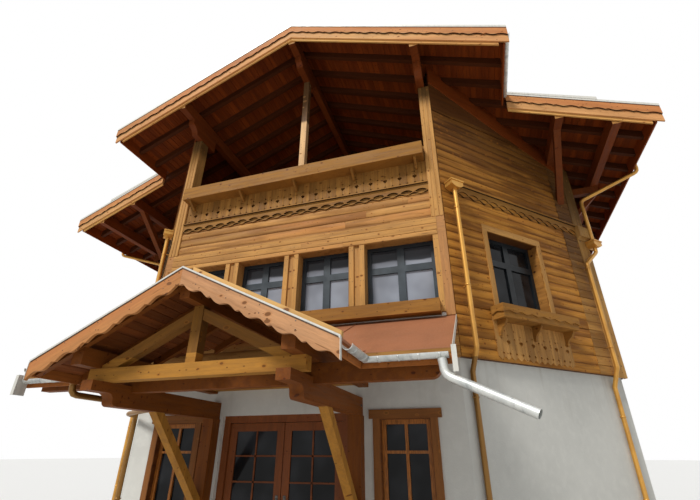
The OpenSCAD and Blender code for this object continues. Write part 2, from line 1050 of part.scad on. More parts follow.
module verge_flashings() {
    color(zinc_grey)
        on_plan()
            both_sides() {
                drip_edge(0.5, upper_half_w, -front_overhang, barge_all_t);
                drip_edge(upper_half_w + 15, eave_half_w + 20, step_back, barge_all_t);
                across(step_back - 2 * drip_t, step_back - drip_t)
                    polygon([
                        [spill_x0, roof_z(spill_x0) + barge_rise],
                        [spill_x1, roof_z(spill_x1) + barge_rise],
                        [spill_x1, roof_z(spill_x1) + 75], [spill_x0, roof_z(spill_x0) + 48],
                    ]);
                mirror([0, 1, 0])
                    drip_edge(0.5, eave_half_w + 20, -body_d - back_overhang, barge_all_t);
                porch_flashings();
            }
}

eave_board_t = 25;

module eave_boards() {
    color(dark_timber)
        on_plan()
            both_sides() {
                block([rafter_end_upper, verge_y, roof_z(rafter_end_upper) - barge_lower_v],
                    [rafter_end_upper + eave_board_t, step_back,
                    roof_z(rafter_end_upper + eave_board_t) - sheet_v - seat]);
                block([rafter_end_lower, step_y, roof_z(rafter_end_lower) - barge_lower_v],
                    [rafter_end_lower + eave_board_t, back_y,
                    roof_z(rafter_end_lower + eave_board_t) - sheet_v - seat]);
            }
}

// RAINWATER

module gutter_along_y(x, z, y0, y1, r) {
    translate([x, 0, z])
        across(y0, y1)
            gutter_profile(r);
}

// Distance from the sheet's edge down to the gutter's rim
gutter_hang = 10;
gutter_x_upper = rafter_end_upper + eave_board_t + gutter_r;
gutter_x_lower = rafter_end_lower + eave_board_t + gutter_r;

module roof_gutters() {
    color(zinc_grey)
        on_plan()
            both_sides() {
                upper_z = roof_z(gutter_x_upper) - sheet_v - gutter_hang;
                lower_z = roof_z(gutter_x_lower) - sheet_v - gutter_hang;
                gutter_along_y(gutter_x_upper, upper_z, verge_y, step_back, gutter_r);
                gutter_along_y(gutter_x_lower, lower_z, step_y, back_y, gutter_r);
            }
}

// Rainwater head: a box over a tapering throat, its back at y = 0
hopper_w = 240;
hopper_d = 170;
hopper_h = 95;
throat_h = 45;
hopper_rim = 12;

module hopper() {
    across(-hopper_d, 0)
        polygon([
            [-hopper_w / 2, 0], [-hopper_w / 2, hopper_h], [hopper_w / 2, hopper_h],
            [hopper_w / 2, 0], [pipe_r + 8, -throat_h], [-pipe_r - 8, -throat_h],
        ]);
    block([-hopper_w / 2 - hopper_rim, -hopper_d - hopper_rim, hopper_h - 2 * hopper_rim],
        [hopper_w / 2 + hopper_rim, 0, hopper_h]);
}

near_hopper_s = 190;
near_hopper_h = attic_h + 50;
pipe_stand = 80;
kink_h = ground_h + 120;

far_hopper_s = cant_len + 45;
far_hopper_h = trim_top - corbel_h - hopper_h - 5;
far_pipe_s = cant_len - far_board_w - pipe_r - 25;
upper_pipe_y = -pipe_stand - cover_board_t;
lower_pipe_y = plaster_set - pipe_r - 15;

// Down the face of a slanting wall, back over the plaster and to the ground
module wall_pipe(s, y, z) {
    pipe_route([
        [s, y, z], [s, y, kink_h], [s, lower_pipe_y, kink_h - 300], [s, lower_pipe_y, 0],
    ], pipe_r);
}

module downpipes() {
    color(copper_gold)
        on_plan() {
            both_sides()
                on_wall(CANT) {
                    translate([near_hopper_s, -trim_t, near_hopper_h])
                        hopper();
                    wall_pipe(near_hopper_s, -trim_t - hopper_d / 2, near_hopper_h - throat_h);
                    translate([far_hopper_s, -cover_board_t, far_hopper_h])
                        hopper();
                    pipe_route([
                        [far_hopper_s, -cover_board_t - hopper_d / 2, far_hopper_h - throat_h],
                        [far_hopper_s, -cover_board_t - hopper_d / 2, far_hopper_h - throat_h - 90],
                        [far_pipe_s, upper_pipe_y, far_hopper_h - throat_h - 420],
                        [far_pipe_s, upper_pipe_y, kink_h],
                        [far_pipe_s, lower_pipe_y, kink_h - 300],
                        [far_pipe_s, lower_pipe_y, 0],
                    ], pipe_r);
                }
            swan_neck();
        }
}

// Copper pipe from the left end of the porch's gutters back under the eave, then
// across to the left downpipe
module swan_neck() {
    foot = beside_cant(near_hopper_s, lower_pipe_y);
    turn = beside_cant(near_hopper_s, lower_pipe_y - 150);
    x = -porch_gutter_x + 10;
    pipe_route([
        [x, porch_gutter_y, porch_gutter_z - porch_gutter_r],
        [x, porch_gutter_y, swan_h],
        [x, -400, swan_h - 15],
        [-turn.x, turn.y, swan_h - 40],
        [-foot.x, foot.y, swan_h - 60],
    ], pipe_r);
}

// Plan point of a place beside the right slanting wall
function beside_cant(s, y) = [half_front + (s - y) / sqrt(2), (s + y) / sqrt(2)];

// Pipe from the outer gutter across to the far corner and down to its hopper
link_y = 2100;
// Least drop from the gutter that clears the rafters' ends
link_clear = 120;

module eave_pipes() {
    gutter_low = roof_z(gutter_x_lower) - sheet_v - gutter_hang - gutter_r;
    turn = beside_cant(far_hopper_s, -cover_board_t - hopper_d / 2);
    foot_h = far_hopper_h + hopper_h + seat;
    height = gutter_low - foot_h;
    drop = link_clear + 0.08 * height;
    color(copper_gold)
        on_plan()
            both_sides()
                pipe_route([
                    [gutter_x_lower, link_y, gutter_low],
                    [gutter_x_lower, link_y, gutter_low - drop],
                    [turn.x, turn.y, gutter_low - drop - 0.157 * height],
                    [turn.x, turn.y, foot_h],
                ], pipe_r);
}

// PORCH

kp = (porch_ridge_h - porch_eave_h) / porch_half_w;
kw = (porch_ridge_h - porch_eave_h) / pent_d;
porch_skin_v = porch_sheet_v + porch_boards_v;
porch_frame_v = porch_skin_v + porch_rafter_v;
function porch_z(x) = porch_ridge_h - kp * abs(x);
function pent_z(y) = porch_ridge_h - kw * abs(y);
porch_barge_t = 35;
porch_verge_y = -porch_d + porch_barge_t;
ridge_purlin_w = 120;
ridge_purlin_h = 150;
eave_purlin_w = 140;
eave_purlin_x = 1230;
tie_top = porch_z(eave_purlin_x) - porch_frame_v - 150;
tie_low = tie_top - tie_h;
side_beam_low = tie_low - side_beam_h;
tie_y = -2170;
tie_w = 140;
side_beam_end = -2300;
purlin_end = -2420;

// A band on the porch slope between two depths
module porch_band(x0, x1, d0, d1, y0, y1) {
    across(y0, y1)
        polygon([
            [x0, porch_z(x0) - d1], [x1, porch_z(x1) - d1],
            [x1, porch_z(x1) - d0], [x0, porch_z(x0) - d0],
        ]);
}

// Plan region of the right porch slope in front of the valley
module porch_region(x_end, y_front) {
    linear_extrude(sky)
        polygon([
            [0.5, -1], [x_end, -1 - pent_d * x_end / porch_half_w],
            [x_end, y_front], [0.5, y_front],
        ]);
}

// Plan region of the right pent slope beside the valley
module pent_region(x_end) {
    linear_extrude(sky)
        polygon([
            [1, 0], [1 + porch_half_w, -pent_d], [x_end, -pent_d], [x_end, 0],
        ]);
}

module porch_slab(d0, d1) {
    intersection() {
        porch_band(0, porch_half_w, d0, d1, porch_verge_y, 0);
        porch_region(porch_half_w, porch_verge_y);
    }
}

module pent_slab(d0, d1) {
    intersection() {
        along(0, half_front)
            polygon([
                [0, pent_z(0) - d1], [0, pent_z(0) - d0],
                [-pent_d, pent_z(pent_d) - d0], [-pent_d, pent_z(pent_d) - d1],
            ]);
        pent_region(half_front);
    }
}

module porch_roof_sheet() {
    color(sheet_brown)
        on_plan()
            both_sides() {
                porch_slab(0, porch_sheet_v);
                pent_slab(0, porch_sheet_v);
            }
}

fascia_t = 22;
fascia_low = porch_eave_h - 150;

// Boards under the sheet, with the fascia that hangs from their edge
module porch_roof_boards() {
    color(dark_timber)
        on_plan()
            both_sides() {
                porch_slab(porch_sheet_v + seat, porch_skin_v);
                pent_slab(porch_sheet_v + seat, porch_skin_v);
                fascia_top = porch_eave_h - porch_skin_v + 5;
                block([porch_half_w - fascia_t, porch_verge_y, fascia_low],
                    [porch_half_w, -pent_d - 2, fascia_top]);
                block([porch_half_w + 2, -pent_d, fascia_low],
                    [half_front, -pent_d + fascia_t, fascia_top]);
            }
}

cove_r = 75;
nose_r = 55;
cove_y = -1990;

// Side beams, thinner at the front, where a cove and a rounded nose are carved
module porch_side_beams() {
    color(orange_timber)
        on_plan()
            both_sides()
                along(side_beam_x - side_beam_w / 2, side_beam_x + side_beam_w / 2)
                    difference() {
                        translate([side_beam_end, side_beam_low])
                            square([plaster_set - side_beam_end, side_beam_h]);
                        translate([side_beam_end - 1, side_beam_low - 1])
                            square([cove_y - cove_r - side_beam_end + 1, nose_r + cove_r + 1]);
                        translate([cove_y - cove_r, side_beam_low + nose_r])
                            circle(r = cove_r);
                        difference() {
                            translate([cove_y - cove_r - 1, side_beam_low - 1])
                                square([cove_r + nose_r + 1, nose_r + 1]);
                            translate([cove_y + nose_r, side_beam_low + nose_r])
                                circle(r = nose_r);
                        }
                    }
}

post_w = 180;
brace_w = 110;
brace_reach = 1120;

module porch_posts() {
    color(dark_timber)
        on_plan()
            both_sides()
                block([side_beam_x - post_w / 2, plaster_set - post_w, 0],
                    [side_beam_x + post_w / 2, plaster_set, side_beam_low]);
}

// Braces at 45 degrees from the posts out to the side beams
module porch_braces() {
    y_post = plaster_set - post_w;
    z_low = side_beam_low - (y_post + brace_reach);
    color(golden_timber)
        on_plan()
            both_sides()
                along(side_beam_x - brace_w / 2, side_beam_x + brace_w / 2)
                    polygon([
                        [y_post, z_low], [y_post, z_low - brace_w * sqrt(2)],
                        [-brace_reach - brace_w * sqrt(2), side_beam_low], [-brace_reach, side_beam_low],
                    ]);
}

king_w = 120;
principal_v = 130;

module porch_truss() {
    color(golden_timber)
        on_plan() {
            tie_half = eave_purlin_x + eave_purlin_w / 2;
            block([-eave_purlin_x + eave_purlin_w / 2, plaster_set - tie_w, tie_top + 35],
                [eave_purlin_x - eave_purlin_w / 2, plaster_set, tie_top + 35 + tie_w]);
            apex = porch_z(0) - porch_frame_v - ridge_purlin_h;
            block([-tie_half, tie_y, tie_low], [tie_half, tie_y + tie_w, tie_top]);
            block([-king_w / 2, tie_y + 10, tie_top], [king_w / 2, tie_y + tie_w - 10, apex]);
            both_sides()
                intersection() {
                    across(tie_y + 20, tie_y + tie_w - 20)
                        polygon([
                            [king_w / 2, apex - kp * king_w / 2],
                            [king_w / 2, apex - kp * king_w / 2 - principal_v],
                            [eave_purlin_x, apex - kp * eave_purlin_x - principal_v],
                            [eave_purlin_x, apex - kp * eave_purlin_x],
                        ]);
                    block([0, -body_d, tie_top], [eave_purlin_x - eave_purlin_w / 2, 0, sky]);
                }
        }
}

module porch_purlin_bars() {
    block([-ridge_purlin_w / 2, purlin_end, porch_z(0) - porch_frame_v - ridge_purlin_h],
        [ridge_purlin_w / 2, 0, porch_z(0) - porch_frame_v]);
    both_sides()
        block([eave_purlin_x - eave_purlin_w / 2, purlin_end, tie_top],
            [eave_purlin_x + eave_purlin_w / 2, plaster_set,
            porch_z(eave_purlin_x) - porch_frame_v + kp * eave_purlin_w / 2]);
}

module porch_purlins() {
    color(orange_timber)
        on_plan() {
            porch_purlin_bars();
            pent_beam_bar();
        }
}

porch_rafter_w = 60;
porch_rafter_rows = [-2440, -1900, -1360, -820];
pent_rafter_xs = [1950, 2270];
pent_beam_y = -1760;
pent_beam_w = 120;

pent_beam_drop = 66;
pent_beam_round = 90;

// Beam under the pent rafters. Its deeper length at the right is notched over
// both side beams and rounded at its lower end.
module pent_beam_bar() {
    reach = half_front - 130;
    step_x = -side_beam_x - side_beam_w / 2;
    low = tie_low - pent_beam_drop;
    top = pent_z(pent_beam_y) - porch_frame_v + kw * pent_beam_w;
    difference() {
        across(pent_beam_y, pent_beam_y + pent_beam_w)
            difference() {
                translate([-reach, low])
                    square([2 * reach, top - low]);
                translate([-reach - 1, low - 1])
                    square([reach + step_x + 1, pent_beam_drop + 1]);
                translate([reach - pent_beam_round, low - 1])
                    difference() {
                        square([pent_beam_round + 1, pent_beam_round + 1]);
                        translate([0, pent_beam_round + 1])
                            circle(r = pent_beam_round);
                    }
            }
        both_sides()
            block([side_beam_x - side_beam_w / 2, -body_d, 0], [side_beam_x + side_beam_w / 2, 0, tie_low]);
    }
}

module porch_rafters() {
    color(orange_timber)
        on_plan()
            both_sides() {
                for (y = porch_rafter_rows) {
                    x_end = min(porch_half_w - fascia_t, -(y + porch_rafter_w) * porch_half_w / pent_d - 20);
                    difference() {
                        porch_band(0.5, x_end, porch_skin_v + seat, porch_frame_v, y, y + porch_rafter_w);
                        porch_purlin_bars();
                    }
                }
                for (x = pent_rafter_xs)
                    difference() {
                        along(x, x + porch_rafter_w)
                            polygon([
                                [0, pent_z(0) - porch_frame_v], [0, pent_z(0) - porch_skin_v - seat],
                                [-pent_d + fascia_t, pent_z(pent_d - fascia_t) - porch_skin_v - seat],
                                [-pent_d + fascia_t, pent_z(pent_d - fascia_t) - porch_frame_v],
                            ]);
                        pent_beam_bar();
                    }
            }
}

porch_barge_v = 195;
porch_scallops = 5;

batten_y = porch_verge_y + 4;
batten_h = 62;

// Carved verge boards, and the batten that stands on the sheet behind them
module porch_bargeboards() {
    color(orange_timber)
        on_plan()
            both_sides() {
                porch_band(100, porch_half_w, -batten_h, -seat, batten_y, batten_y + 50);
                across(-porch_d, porch_verge_y)
                    polygon(concat(
                        ogee_edge(0.5, porch_half_w, porch_ridge_h - porch_barge_v, kp, porch_scallops, 45),
                        [[porch_half_w, porch_z(porch_half_w) + porch_barge_rise],
                            [0.5, porch_z(0.5) + porch_barge_rise]]
                    ));
            }
}

porch_gutter_r = 50;
porch_gutter_x = porch_half_w + porch_gutter_r;
porch_gutter_y = -pent_d - porch_gutter_r;
porch_gutter_z = porch_eave_h - 60;
porch_gutter_end = half_front - 34;
swan_h = porch_gutter_z - porch_gutter_r - 150;
porch_barge_rise = 10;

// The half plan on one side of a gutter corner's mitre line
module mitre_half(x, y, side) {
    reach = porch_d;
    translate([x, y, 0])
        linear_extrude(sky)
            polygon([[-reach, reach], [reach, -reach], [-side * reach, -side * reach]]);
}

module porch_gutters() {
    x = porch_gutter_x;
    y = porch_gutter_y;
    r = porch_gutter_r;
    color(zinc_grey)
        on_plan()
            both_sides() {
                intersection() {
                    gutter_along_y(x, porch_gutter_z, porch_verge_y, y + 2 * r, r);
                    mitre_half(x, y, 1);
                }
                intersection() {
                    translate([0, y, porch_gutter_z])
                        along(x - 2 * r, porch_gutter_end)
                            gutter_profile(r);
                    mitre_half(x, y, -1);
                }
                translate([0, y, porch_gutter_z])
                    along(porch_gutter_end, porch_gutter_end + gutter_t)
                        difference() {
                            circle(r = r);
                            translate([-2 * r, 0])
                                square([4 * r, 2 * r]);
                        }
            }
}

// Folded metal on the porch verge, down its ends and along the sides of the pent roof
plumb_low = porch_eave_h - 195;

module porch_flashings() {
    rise = porch_barge_rise;
    front = -porch_d - drip_t;
    porch_band(0.5, porch_half_w, -rise - drip_t, -rise - seat, front, porch_verge_y);
    porch_band(0.5, porch_half_w + drip_t, -rise - drip_t, 24 - rise, front, -porch_d);
    block([porch_half_w + seat, front, plumb_low],
        [porch_half_w + drip_t, porch_verge_y, porch_z(porch_half_w + drip_t) + rise]);
    along(half_front + seat, half_front + drip_t)
        polygon([
            [-pent_d, pent_z(pent_d) - 80], [-pent_d, pent_z(pent_d) + 10],
            [0, pent_z(0) + 10], [0, pent_z(0) - 80],
        ]);
    block([half_front + seat, -pent_d - 130, plumb_low - 50],
        [half_front + drip_t, -pent_d, porch_eave_h - 10]);
    block([half_front + seat, -pent_d - 136, plumb_low - 50],
        [half_front + 46, -pent_d - 130, porch_eave_h - 10]);
    block([porch_half_w / 8, -12, porch_ridge_h + seat],
        [half_front - lower_corner_board_w - seat, 0, porch_ridge_h + 50]);
}

// Round zinc spout that throws the gutter's water out over the planting
module spout_pipe() {
    route = [
        [porch_gutter_end - 60, porch_gutter_y, porch_gutter_z - porch_gutter_r],
        [porch_gutter_end - 40, porch_gutter_y, porch_gutter_z - porch_gutter_r - 150],
        [porch_gutter_end + 640, porch_gutter_y - 280, porch_gutter_z - porch_gutter_r - 510],
    ];
    flow = unit(route[2] - route[1]);
    color(zinc_grey)
        on_plan()
            difference() {
                pipe_route(route, spout_r);
                pipe_run(route[1] + 120 * flow, route[2] + 40 * flow, spout_r - gutter_t);
                translate([0, porch_gutter_y, porch_gutter_z])
                    along(0, body_w)
                        circle(r = porch_gutter_r + seat);
            }
}

// DOOR

door_frame_y = plaster_set + 60;
door_frame_inner = door_half_w - door_post_w;
leaf_head = door_head - door_post_w;
leaf_y = door_frame_y + door_rebate;
leaf_back_y = leaf_y + leaf_t;
leaf_low = slab_t + 8;
leaf_high = leaf_head - leaf_gap;
leaf_outer_x = door_frame_inner - leaf_gap;
leaf_inner_x = meeting_gap / 2;
stile_w = 110;
lock_rail_h = slab_t + 850;

// Hinges: a bored knuckle on the leaf turns on a pin held by the frame
knuckle_r = 8;
knuckle_h = 40;
hinge_pin_r = 4;
hinge_fit = 0.3;
hinge_flap = 32;
hinge_flap_t = 4;
hinge_x = door_frame_inner - leaf_gap / 2;
hinge_y = leaf_back_y + knuckle_r;
hinge_heights = [leaf_low + 220, (leaf_low + leaf_high) / 2, leaf_high - 220];

module leaf_knuckle() {
    difference() {
        union() {
            cylinder(h = knuckle_h, r = knuckle_r);
            block([-hinge_flap, -knuckle_r, 0], [0, -knuckle_r + hinge_flap_t, knuckle_h]);
        }
        translate([0, 0, -cut])
            cylinder(h = knuckle_h + 2 * cut, r = hinge_pin_r + hinge_fit);
    }
}

module frame_knuckles() {
    for (z = [-knuckle_h - hinge_fit, knuckle_h + hinge_fit])
        translate([0, 0, z]) {
            cylinder(h = knuckle_h, r = knuckle_r);
            block([0, -knuckle_r, 0], [hinge_flap, -knuckle_r + hinge_flap_t, knuckle_h]);
        }
    translate([0, 0, -knuckle_h])
        cylinder(h = 3 * knuckle_h, r = hinge_pin_r);
}

module at_hinges() {
    for (z = hinge_heights)
        translate([hinge_x, hinge_y, z])
            children();
}

module door_frame() {
    color(dark_timber)
        on_plan() {
            difference() {
                block([-door_half_w, door_frame_y, slab_t], [door_half_w, leaf_back_y, door_head]);
                block([-door_frame_inner, 0, 0], [door_frame_inner, body_d, leaf_head]);
            }
            both_sides()
                at_hinges()
                    frame_knuckles();
        }
}

module leaf_lights() {
    glass_low = lock_rail_h + stile_w;
    block([leaf_inner_x + stile_w, 0, glass_low], [leaf_outer_x - stile_w, body_d, leaf_high - stile_w]);
}

module door_leaf() {
    difference() {
        block([leaf_inner_x, leaf_y, leaf_low], [leaf_outer_x, leaf_back_y, leaf_high]);
        leaf_lights();
        block([leaf_inner_x + stile_w, leaf_y - cut, leaf_low + stile_w],
            [leaf_outer_x - stile_w, leaf_y + 14, lock_rail_h]);
    }
    at_hinges()
        leaf_knuckle();
}

module door_pane() {
    intersection() {
        block([0, leaf_y + leaf_t / 2 - glass_t / 2, 0], [body_w, leaf_y + leaf_t / 2 + glass_t / 2, sky]);
        leaf_lights();
    }
}

module door_leaf_right() {
    color(dark_timber)
        on_plan()
            door_leaf();
}

module door_leaf_left() {
    color(dark_timber)
        on_plan()
            mirror([1, 0, 0])
                door_leaf();
}

module door_glass_right() {
    color(slate_grey)
        on_plan()
            door_pane();
}

module door_glass_left() {
    color(slate_grey)
        on_plan()
            mirror([1, 0, 0])
                door_pane();
}

// WINDOWS

// Frame in an opening: x0 to x1, z0 to z1, its outer face at depth y
module casement(x0, x1, z0, z1, y, bars) {
    difference() {
        block([x0, y, z0], [x1, y + frame_d, z1]);
        casement_lights(x0, x1, z0, z1, y, bars, cut);
    }
}

// Widths of the upright and the level bar of a window, over and in the masonry
timber_bars = [118, 112];
stone_bars = [40, 36];

module casement_lights(x0, x1, z0, z1, y, bars, over) {
    mid = (x0 + x1) / 2;
    bar_z = z1 - (z1 - z0) * 0.34;
    for (xs = [[x0 + frame_w, mid - bars[0] / 2], [mid + bars[0] / 2, x1 - frame_w]])
        for (zs = [[z0 + frame_w, bar_z - bars[1] / 2], [bar_z + bars[1] / 2, z1 - frame_w]])
            block([xs[0], y - over, zs[0]], [xs[1], y + frame_d + over, zs[1]]);
}

module panes(x0, x1, z0, z1, y, bars) {
    intersection() {
        casement_lights(x0, x1, z0, z1, y, bars, 0);
        block([x0, y + (frame_d - glass_t) / 2, z0], [x1, y + (frame_d + glass_t) / 2, z1]);
    }
}

// Calls a child 0 for each window: frames or panes
module every_window(glass) {
    for (w = front_windows)
        timber_window(glass, w[0], w[1], upper_sill_h, upper_head_h);
    both_sides() {
        stone_window(glass, ground_window_x0, ground_window_x1);
        on_wall(CANT)
            timber_window(glass, cant_window_s0, cant_window_s1, cant_sill_h, cant_head_h);
        on_wall(SIDE)
            plain_row(glass, side_windows);
    }
    on_wall(BACK) {
        plain_row(glass, back_windows);
        for (x = attic_windows)
            timber_window(glass, x - plain_window_w / 2, x + plain_window_w / 2,
                attic_sill_h, attic_head_h);
    }
}

module plain_row(glass, centres) {
    for (x = centres) {
        a = x - plain_window_w / 2;
        b = x + plain_window_w / 2;
        stone_window(glass, a, b);
        timber_window(glass, a, b, upper_sill_h, upper_head_h);
    }
}

module timber_window(glass, x0, x1, z0, z1) {
    window_part(glass, x0, x1, z0, z1, reveal_d, timber_bars);
}

module stone_window(glass, x0, x1) {
    window_part(glass, x0, x1, ground_window_sill, ground_window_head, plaster_set + 60, stone_bars);
}

module window_part(glass, x0, x1, z0, z1, y, bars) {
    if (glass)
        panes(x0, x1, z0, z1, y, bars);
    else
        casement(x0, x1, z0, z1, y, bars);
}

module window_frames() {
    color(slate_grey)
        on_plan()
            every_window(false);
}

module window_glass() {
    color([0.35, 0.42, 0.48])
        on_plan() {
            every_window(true);
            loggia_lights(0, loggia_d + (loggia_wall_t - glass_t) / 2, glass_t);
        }
}

loggia_stile_w = 110;

module loggia_lights(over, y, t) {
    both_sides()
        block([loggia_stile_w / 2, y - over, attic_h + loggia_stile_w],
            [loggia_door_half - loggia_stile_w, y + t + over, loggia_door_head - loggia_stile_w]);
}

module loggia_door() {
    color(dark_timber)
        on_plan()
            difference() {
                block([-loggia_door_half, loggia_d + cover_board_t, attic_h],
                    [loggia_door_half, loggia_d + loggia_wall_t - cover_board_t, loggia_door_head]);
                loggia_lights(cut, loggia_d, loggia_wall_t);
            }
}

lintel_h = 115;
jamb_board_w = 95;
stone_lintel_over = 150;

// Lintel and jamb boards laid on the wall round an opening
module surround(x0, x1, z0, z1, proud, side_over) {
    block([x0 - side_over, proud - cover_board_t, z1], [x1 + side_over, proud, z1 + lintel_h]);
    for (x = [x0 - jamb_board_w, x1])
        block([x, proud - cover_board_t, z0], [x + jamb_board_w, proud, z1]);
}

module window_surrounds() {
    color(golden_timber)
        on_plan() {
            both_sides() {
                surround(ground_window_x0, ground_window_x1, ground_window_sill,
                    ground_window_head, plaster_set, stone_lintel_over);
                on_wall(CANT)
                    surround(cant_window_s0, cant_window_s1, cant_sill_h, cant_head_h, 0, jamb_board_w);
                on_wall(SIDE)
                    surround_row(side_windows);
            }
            on_wall(BACK) {
                surround_row(back_windows);
                for (x = attic_windows)
                    surround(x - plain_window_w / 2, x + plain_window_w / 2, attic_sill_h,
                        attic_head_h, 0, jamb_board_w);
            }
        }
}

module surround_row(centres) {
    for (x = centres) {
        a = x - plain_window_w / 2;
        b = x + plain_window_w / 2;
        surround(a, b, ground_window_sill, ground_window_head, plaster_set, stone_lintel_over);
        surround(a, b, upper_sill_h, upper_head_h, 0, jamb_board_w);
    }
}

apron_low = ground_h + 30;

module carved_aprons() {
    color(orange_timber)
        on_plan()
            both_sides()
                on_wall(CANT)
                    across(-cover_board_t, 0)
                        difference() {
                            wavy_board(cant_box_s0, cant_box_s1, apron_low + 20,
                                cant_box_low + cant_box_h, 18, board_w * 0.97, 0);
                            piercings(cant_box_s0, cant_box_s1, apron_low + 90, apron_low + 250);
                        }
}

ground_slab();
ground_front_wall();
ground_wall_over_door();
ground_cant_walls();
ground_side_walls();
ground_back_wall();
upper_floor();
upper_front_wall();
upper_cant_walls();
upper_side_walls();
upper_back_wall();
attic_floor();
loggia_wall();
corner_posts();
front_posts();
far_corner_boards();
centre_post();
balcony_parapet();
scalloped_trim();
flower_boxes();
planting_soil();
purlins();
purlin_bolsters();
purlin_struts();
rafters();
roof_boards();
roof_sheet();
ridge_cap();
bargeboards();
verge_flashings();
eave_boards();
roof_gutters();
downpipes();
eave_pipes();
porch_side_beams();
porch_posts();
porch_braces();
porch_truss();
porch_purlins();
porch_rafters();
porch_roof_boards();
porch_roof_sheet();
porch_bargeboards();
porch_gutters();
spout_pipe();
door_frame();
door_leaf_left();
door_leaf_right();
door_glass_left();
door_glass_right();
window_frames();
window_glass();
window_surrounds();
carved_aprons();
loggia_door();
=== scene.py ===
import math
import random

import bmesh
import bpy
from mathutils import Matrix, Vector


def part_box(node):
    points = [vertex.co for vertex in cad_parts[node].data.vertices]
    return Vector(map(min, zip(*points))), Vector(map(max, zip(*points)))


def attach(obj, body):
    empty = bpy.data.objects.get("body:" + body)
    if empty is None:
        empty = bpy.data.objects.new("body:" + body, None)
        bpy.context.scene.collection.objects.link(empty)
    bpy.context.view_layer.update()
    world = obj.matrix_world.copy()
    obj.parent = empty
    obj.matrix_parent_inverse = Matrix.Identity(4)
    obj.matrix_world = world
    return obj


bl_info = {
    "name": "Alpine Chalet Dressing",
    "version": (1, 0, 0),
    "blender": (4, 5, 0),
    "location": "View3D > Sidebar > Chalet",
    "description": "Boards, tiles, fixings and finishes of an alpine chalet",
    "category": "Object",
}

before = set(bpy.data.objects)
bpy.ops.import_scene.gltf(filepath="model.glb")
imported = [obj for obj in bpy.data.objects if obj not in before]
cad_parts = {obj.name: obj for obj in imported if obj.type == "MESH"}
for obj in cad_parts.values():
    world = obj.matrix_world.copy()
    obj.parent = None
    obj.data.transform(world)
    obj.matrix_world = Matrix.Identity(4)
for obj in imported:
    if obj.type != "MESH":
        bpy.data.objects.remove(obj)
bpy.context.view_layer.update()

# Sizes of the solids, in metres, with y measured from the front timber face
FRONT_Y = -4.0
HALF_FRONT = 2.62
HALF_BODY = 5.21
DEPTH = 8.0
CANT = 2.59
CANT_LEN = CANT * math.sqrt(2)
DIAGONAL = math.sqrt(0.5)
SIDE_LEN = DEPTH - CANT
GROUND_H = 2.94
ATTIC_H = 5.65
RIDGE_H = 9.865
ROOF_ANGLE = math.radians(23.9)
ROOF_K = math.tan(ROOF_ANGLE)
SHEET_V = 0.045
SKIN_V = 0.080
FRAME_V = 0.230
UPPER_HALF = 4.01
EAVE_HALF = 6.315
VERGE_Y = -0.741
STEP_Y = 0.734
BACK_Y = 8.741
RAFTER_BACK = 0.085
LOGGIA_D = 3.2
PARAPET_TOP = 6.57
TRIM_TOP = 5.83
PORCH_TOP = 3.52
PORCH_EAVE = 2.65
PORCH_HALF = 1.757
PENT_D = 1.865
PORCH_FRONT = -2.49
PORCH_K = (PORCH_TOP - PORCH_EAVE) / PORCH_HALF
PENT_K = (PORCH_TOP - PORCH_EAVE) / PENT_D
PORCH_SKIN = 0.055
TIE_TOP = 2.705
KING_HALF = 0.060
GUTTER_R = 0.055
PIPE_R = 0.036
POST_FACE = -0.030
UP = Vector((0, 0, 1))

# Places of the pieces that this script lays on the solids
HEADER_HALF = 2.49
BLOCKS_START = 2.965
BLOCKS_END = CANT_LEN - 0.3
CANT_SIDING_TOP = 7.52
TRIM_W = 0.12
BUTT_GAP = 0.0015
FIRST_ROW = 0.004
WINDOW_SILL, WINDOW_HEAD = 3.58, 4.83
PLAIN_W = 1.0
GROUND_WINDOW = (1.453, 2.135, 1.00, 2.19)


def linear(red, green, blue):
    """Linear colour of an sRGB colour given from 0 to 255."""
    return tuple(
        c / 12.92 if c <= 0.04045 else ((c + 0.055) / 1.055) ** 2.4
        for c in (red / 255, green / 255, blue / 255)
    )


def shade(rgb, factor):
    """A darker or lighter linear colour."""
    return tuple(min(1.0, c * factor) for c in rgb)


def tinted(rgb, factors):
    """A linear colour with a factor for each channel."""
    return tuple(c * f for c, f in zip(rgb, factors))


def roof_z(x):
    """Height of the main roof's upper side at x."""
    return RIDGE_H - ROOF_K * abs(x)


def porch_z(x):
    """Height of the porch roof's upper side at x."""
    return PORCH_TOP - PORCH_K * abs(x)


def spaced(start, stop, step):
    """Numbers a step apart, up to but not including stop."""
    while start < stop:
        yield start
        start += step


# SETTINGS

def length_property(name, default, description, low, high):
    return bpy.props.FloatProperty(
        name=name, default=default, description=description,
        min=low, max=high, unit="LENGTH",
    )


def colour_property(name, rgb, description):
    return bpy.props.FloatVectorProperty(
        name=name, default=linear(*rgb), description=description,
        size=3, min=0.0, max=1.0, subtype="COLOR",
    )


class ChaletBoardSettings(bpy.types.PropertyGroup):
    siding_pitch: length_property("Siding pitch", 0.150, "Height of a wall board", 0.08, 0.25)
    siding_proud: length_property("Siding relief", 0.018, "Thickness of a wall board", 0.006, 0.02)
    board_length: length_property("Board length", 4.8, "Longest wall board", 1.5, 6.0)
    soffit_pitch: length_property("Soffit pitch", 0.120, "Width of a soffit board", 0.08, 0.2)


class ChaletRoofSettings(bpy.types.PropertyGroup):
    tile_width: length_property("Tile width", 0.240, "Cover width of a roof tile", 0.18, 0.35)
    tile_course: length_property("Tile course", 0.330, "Length of a tile that shows", 0.2, 0.4)
    seam_gap: length_property("Seam spacing", 0.62, "Distance between folded seams", 0.4, 0.8)


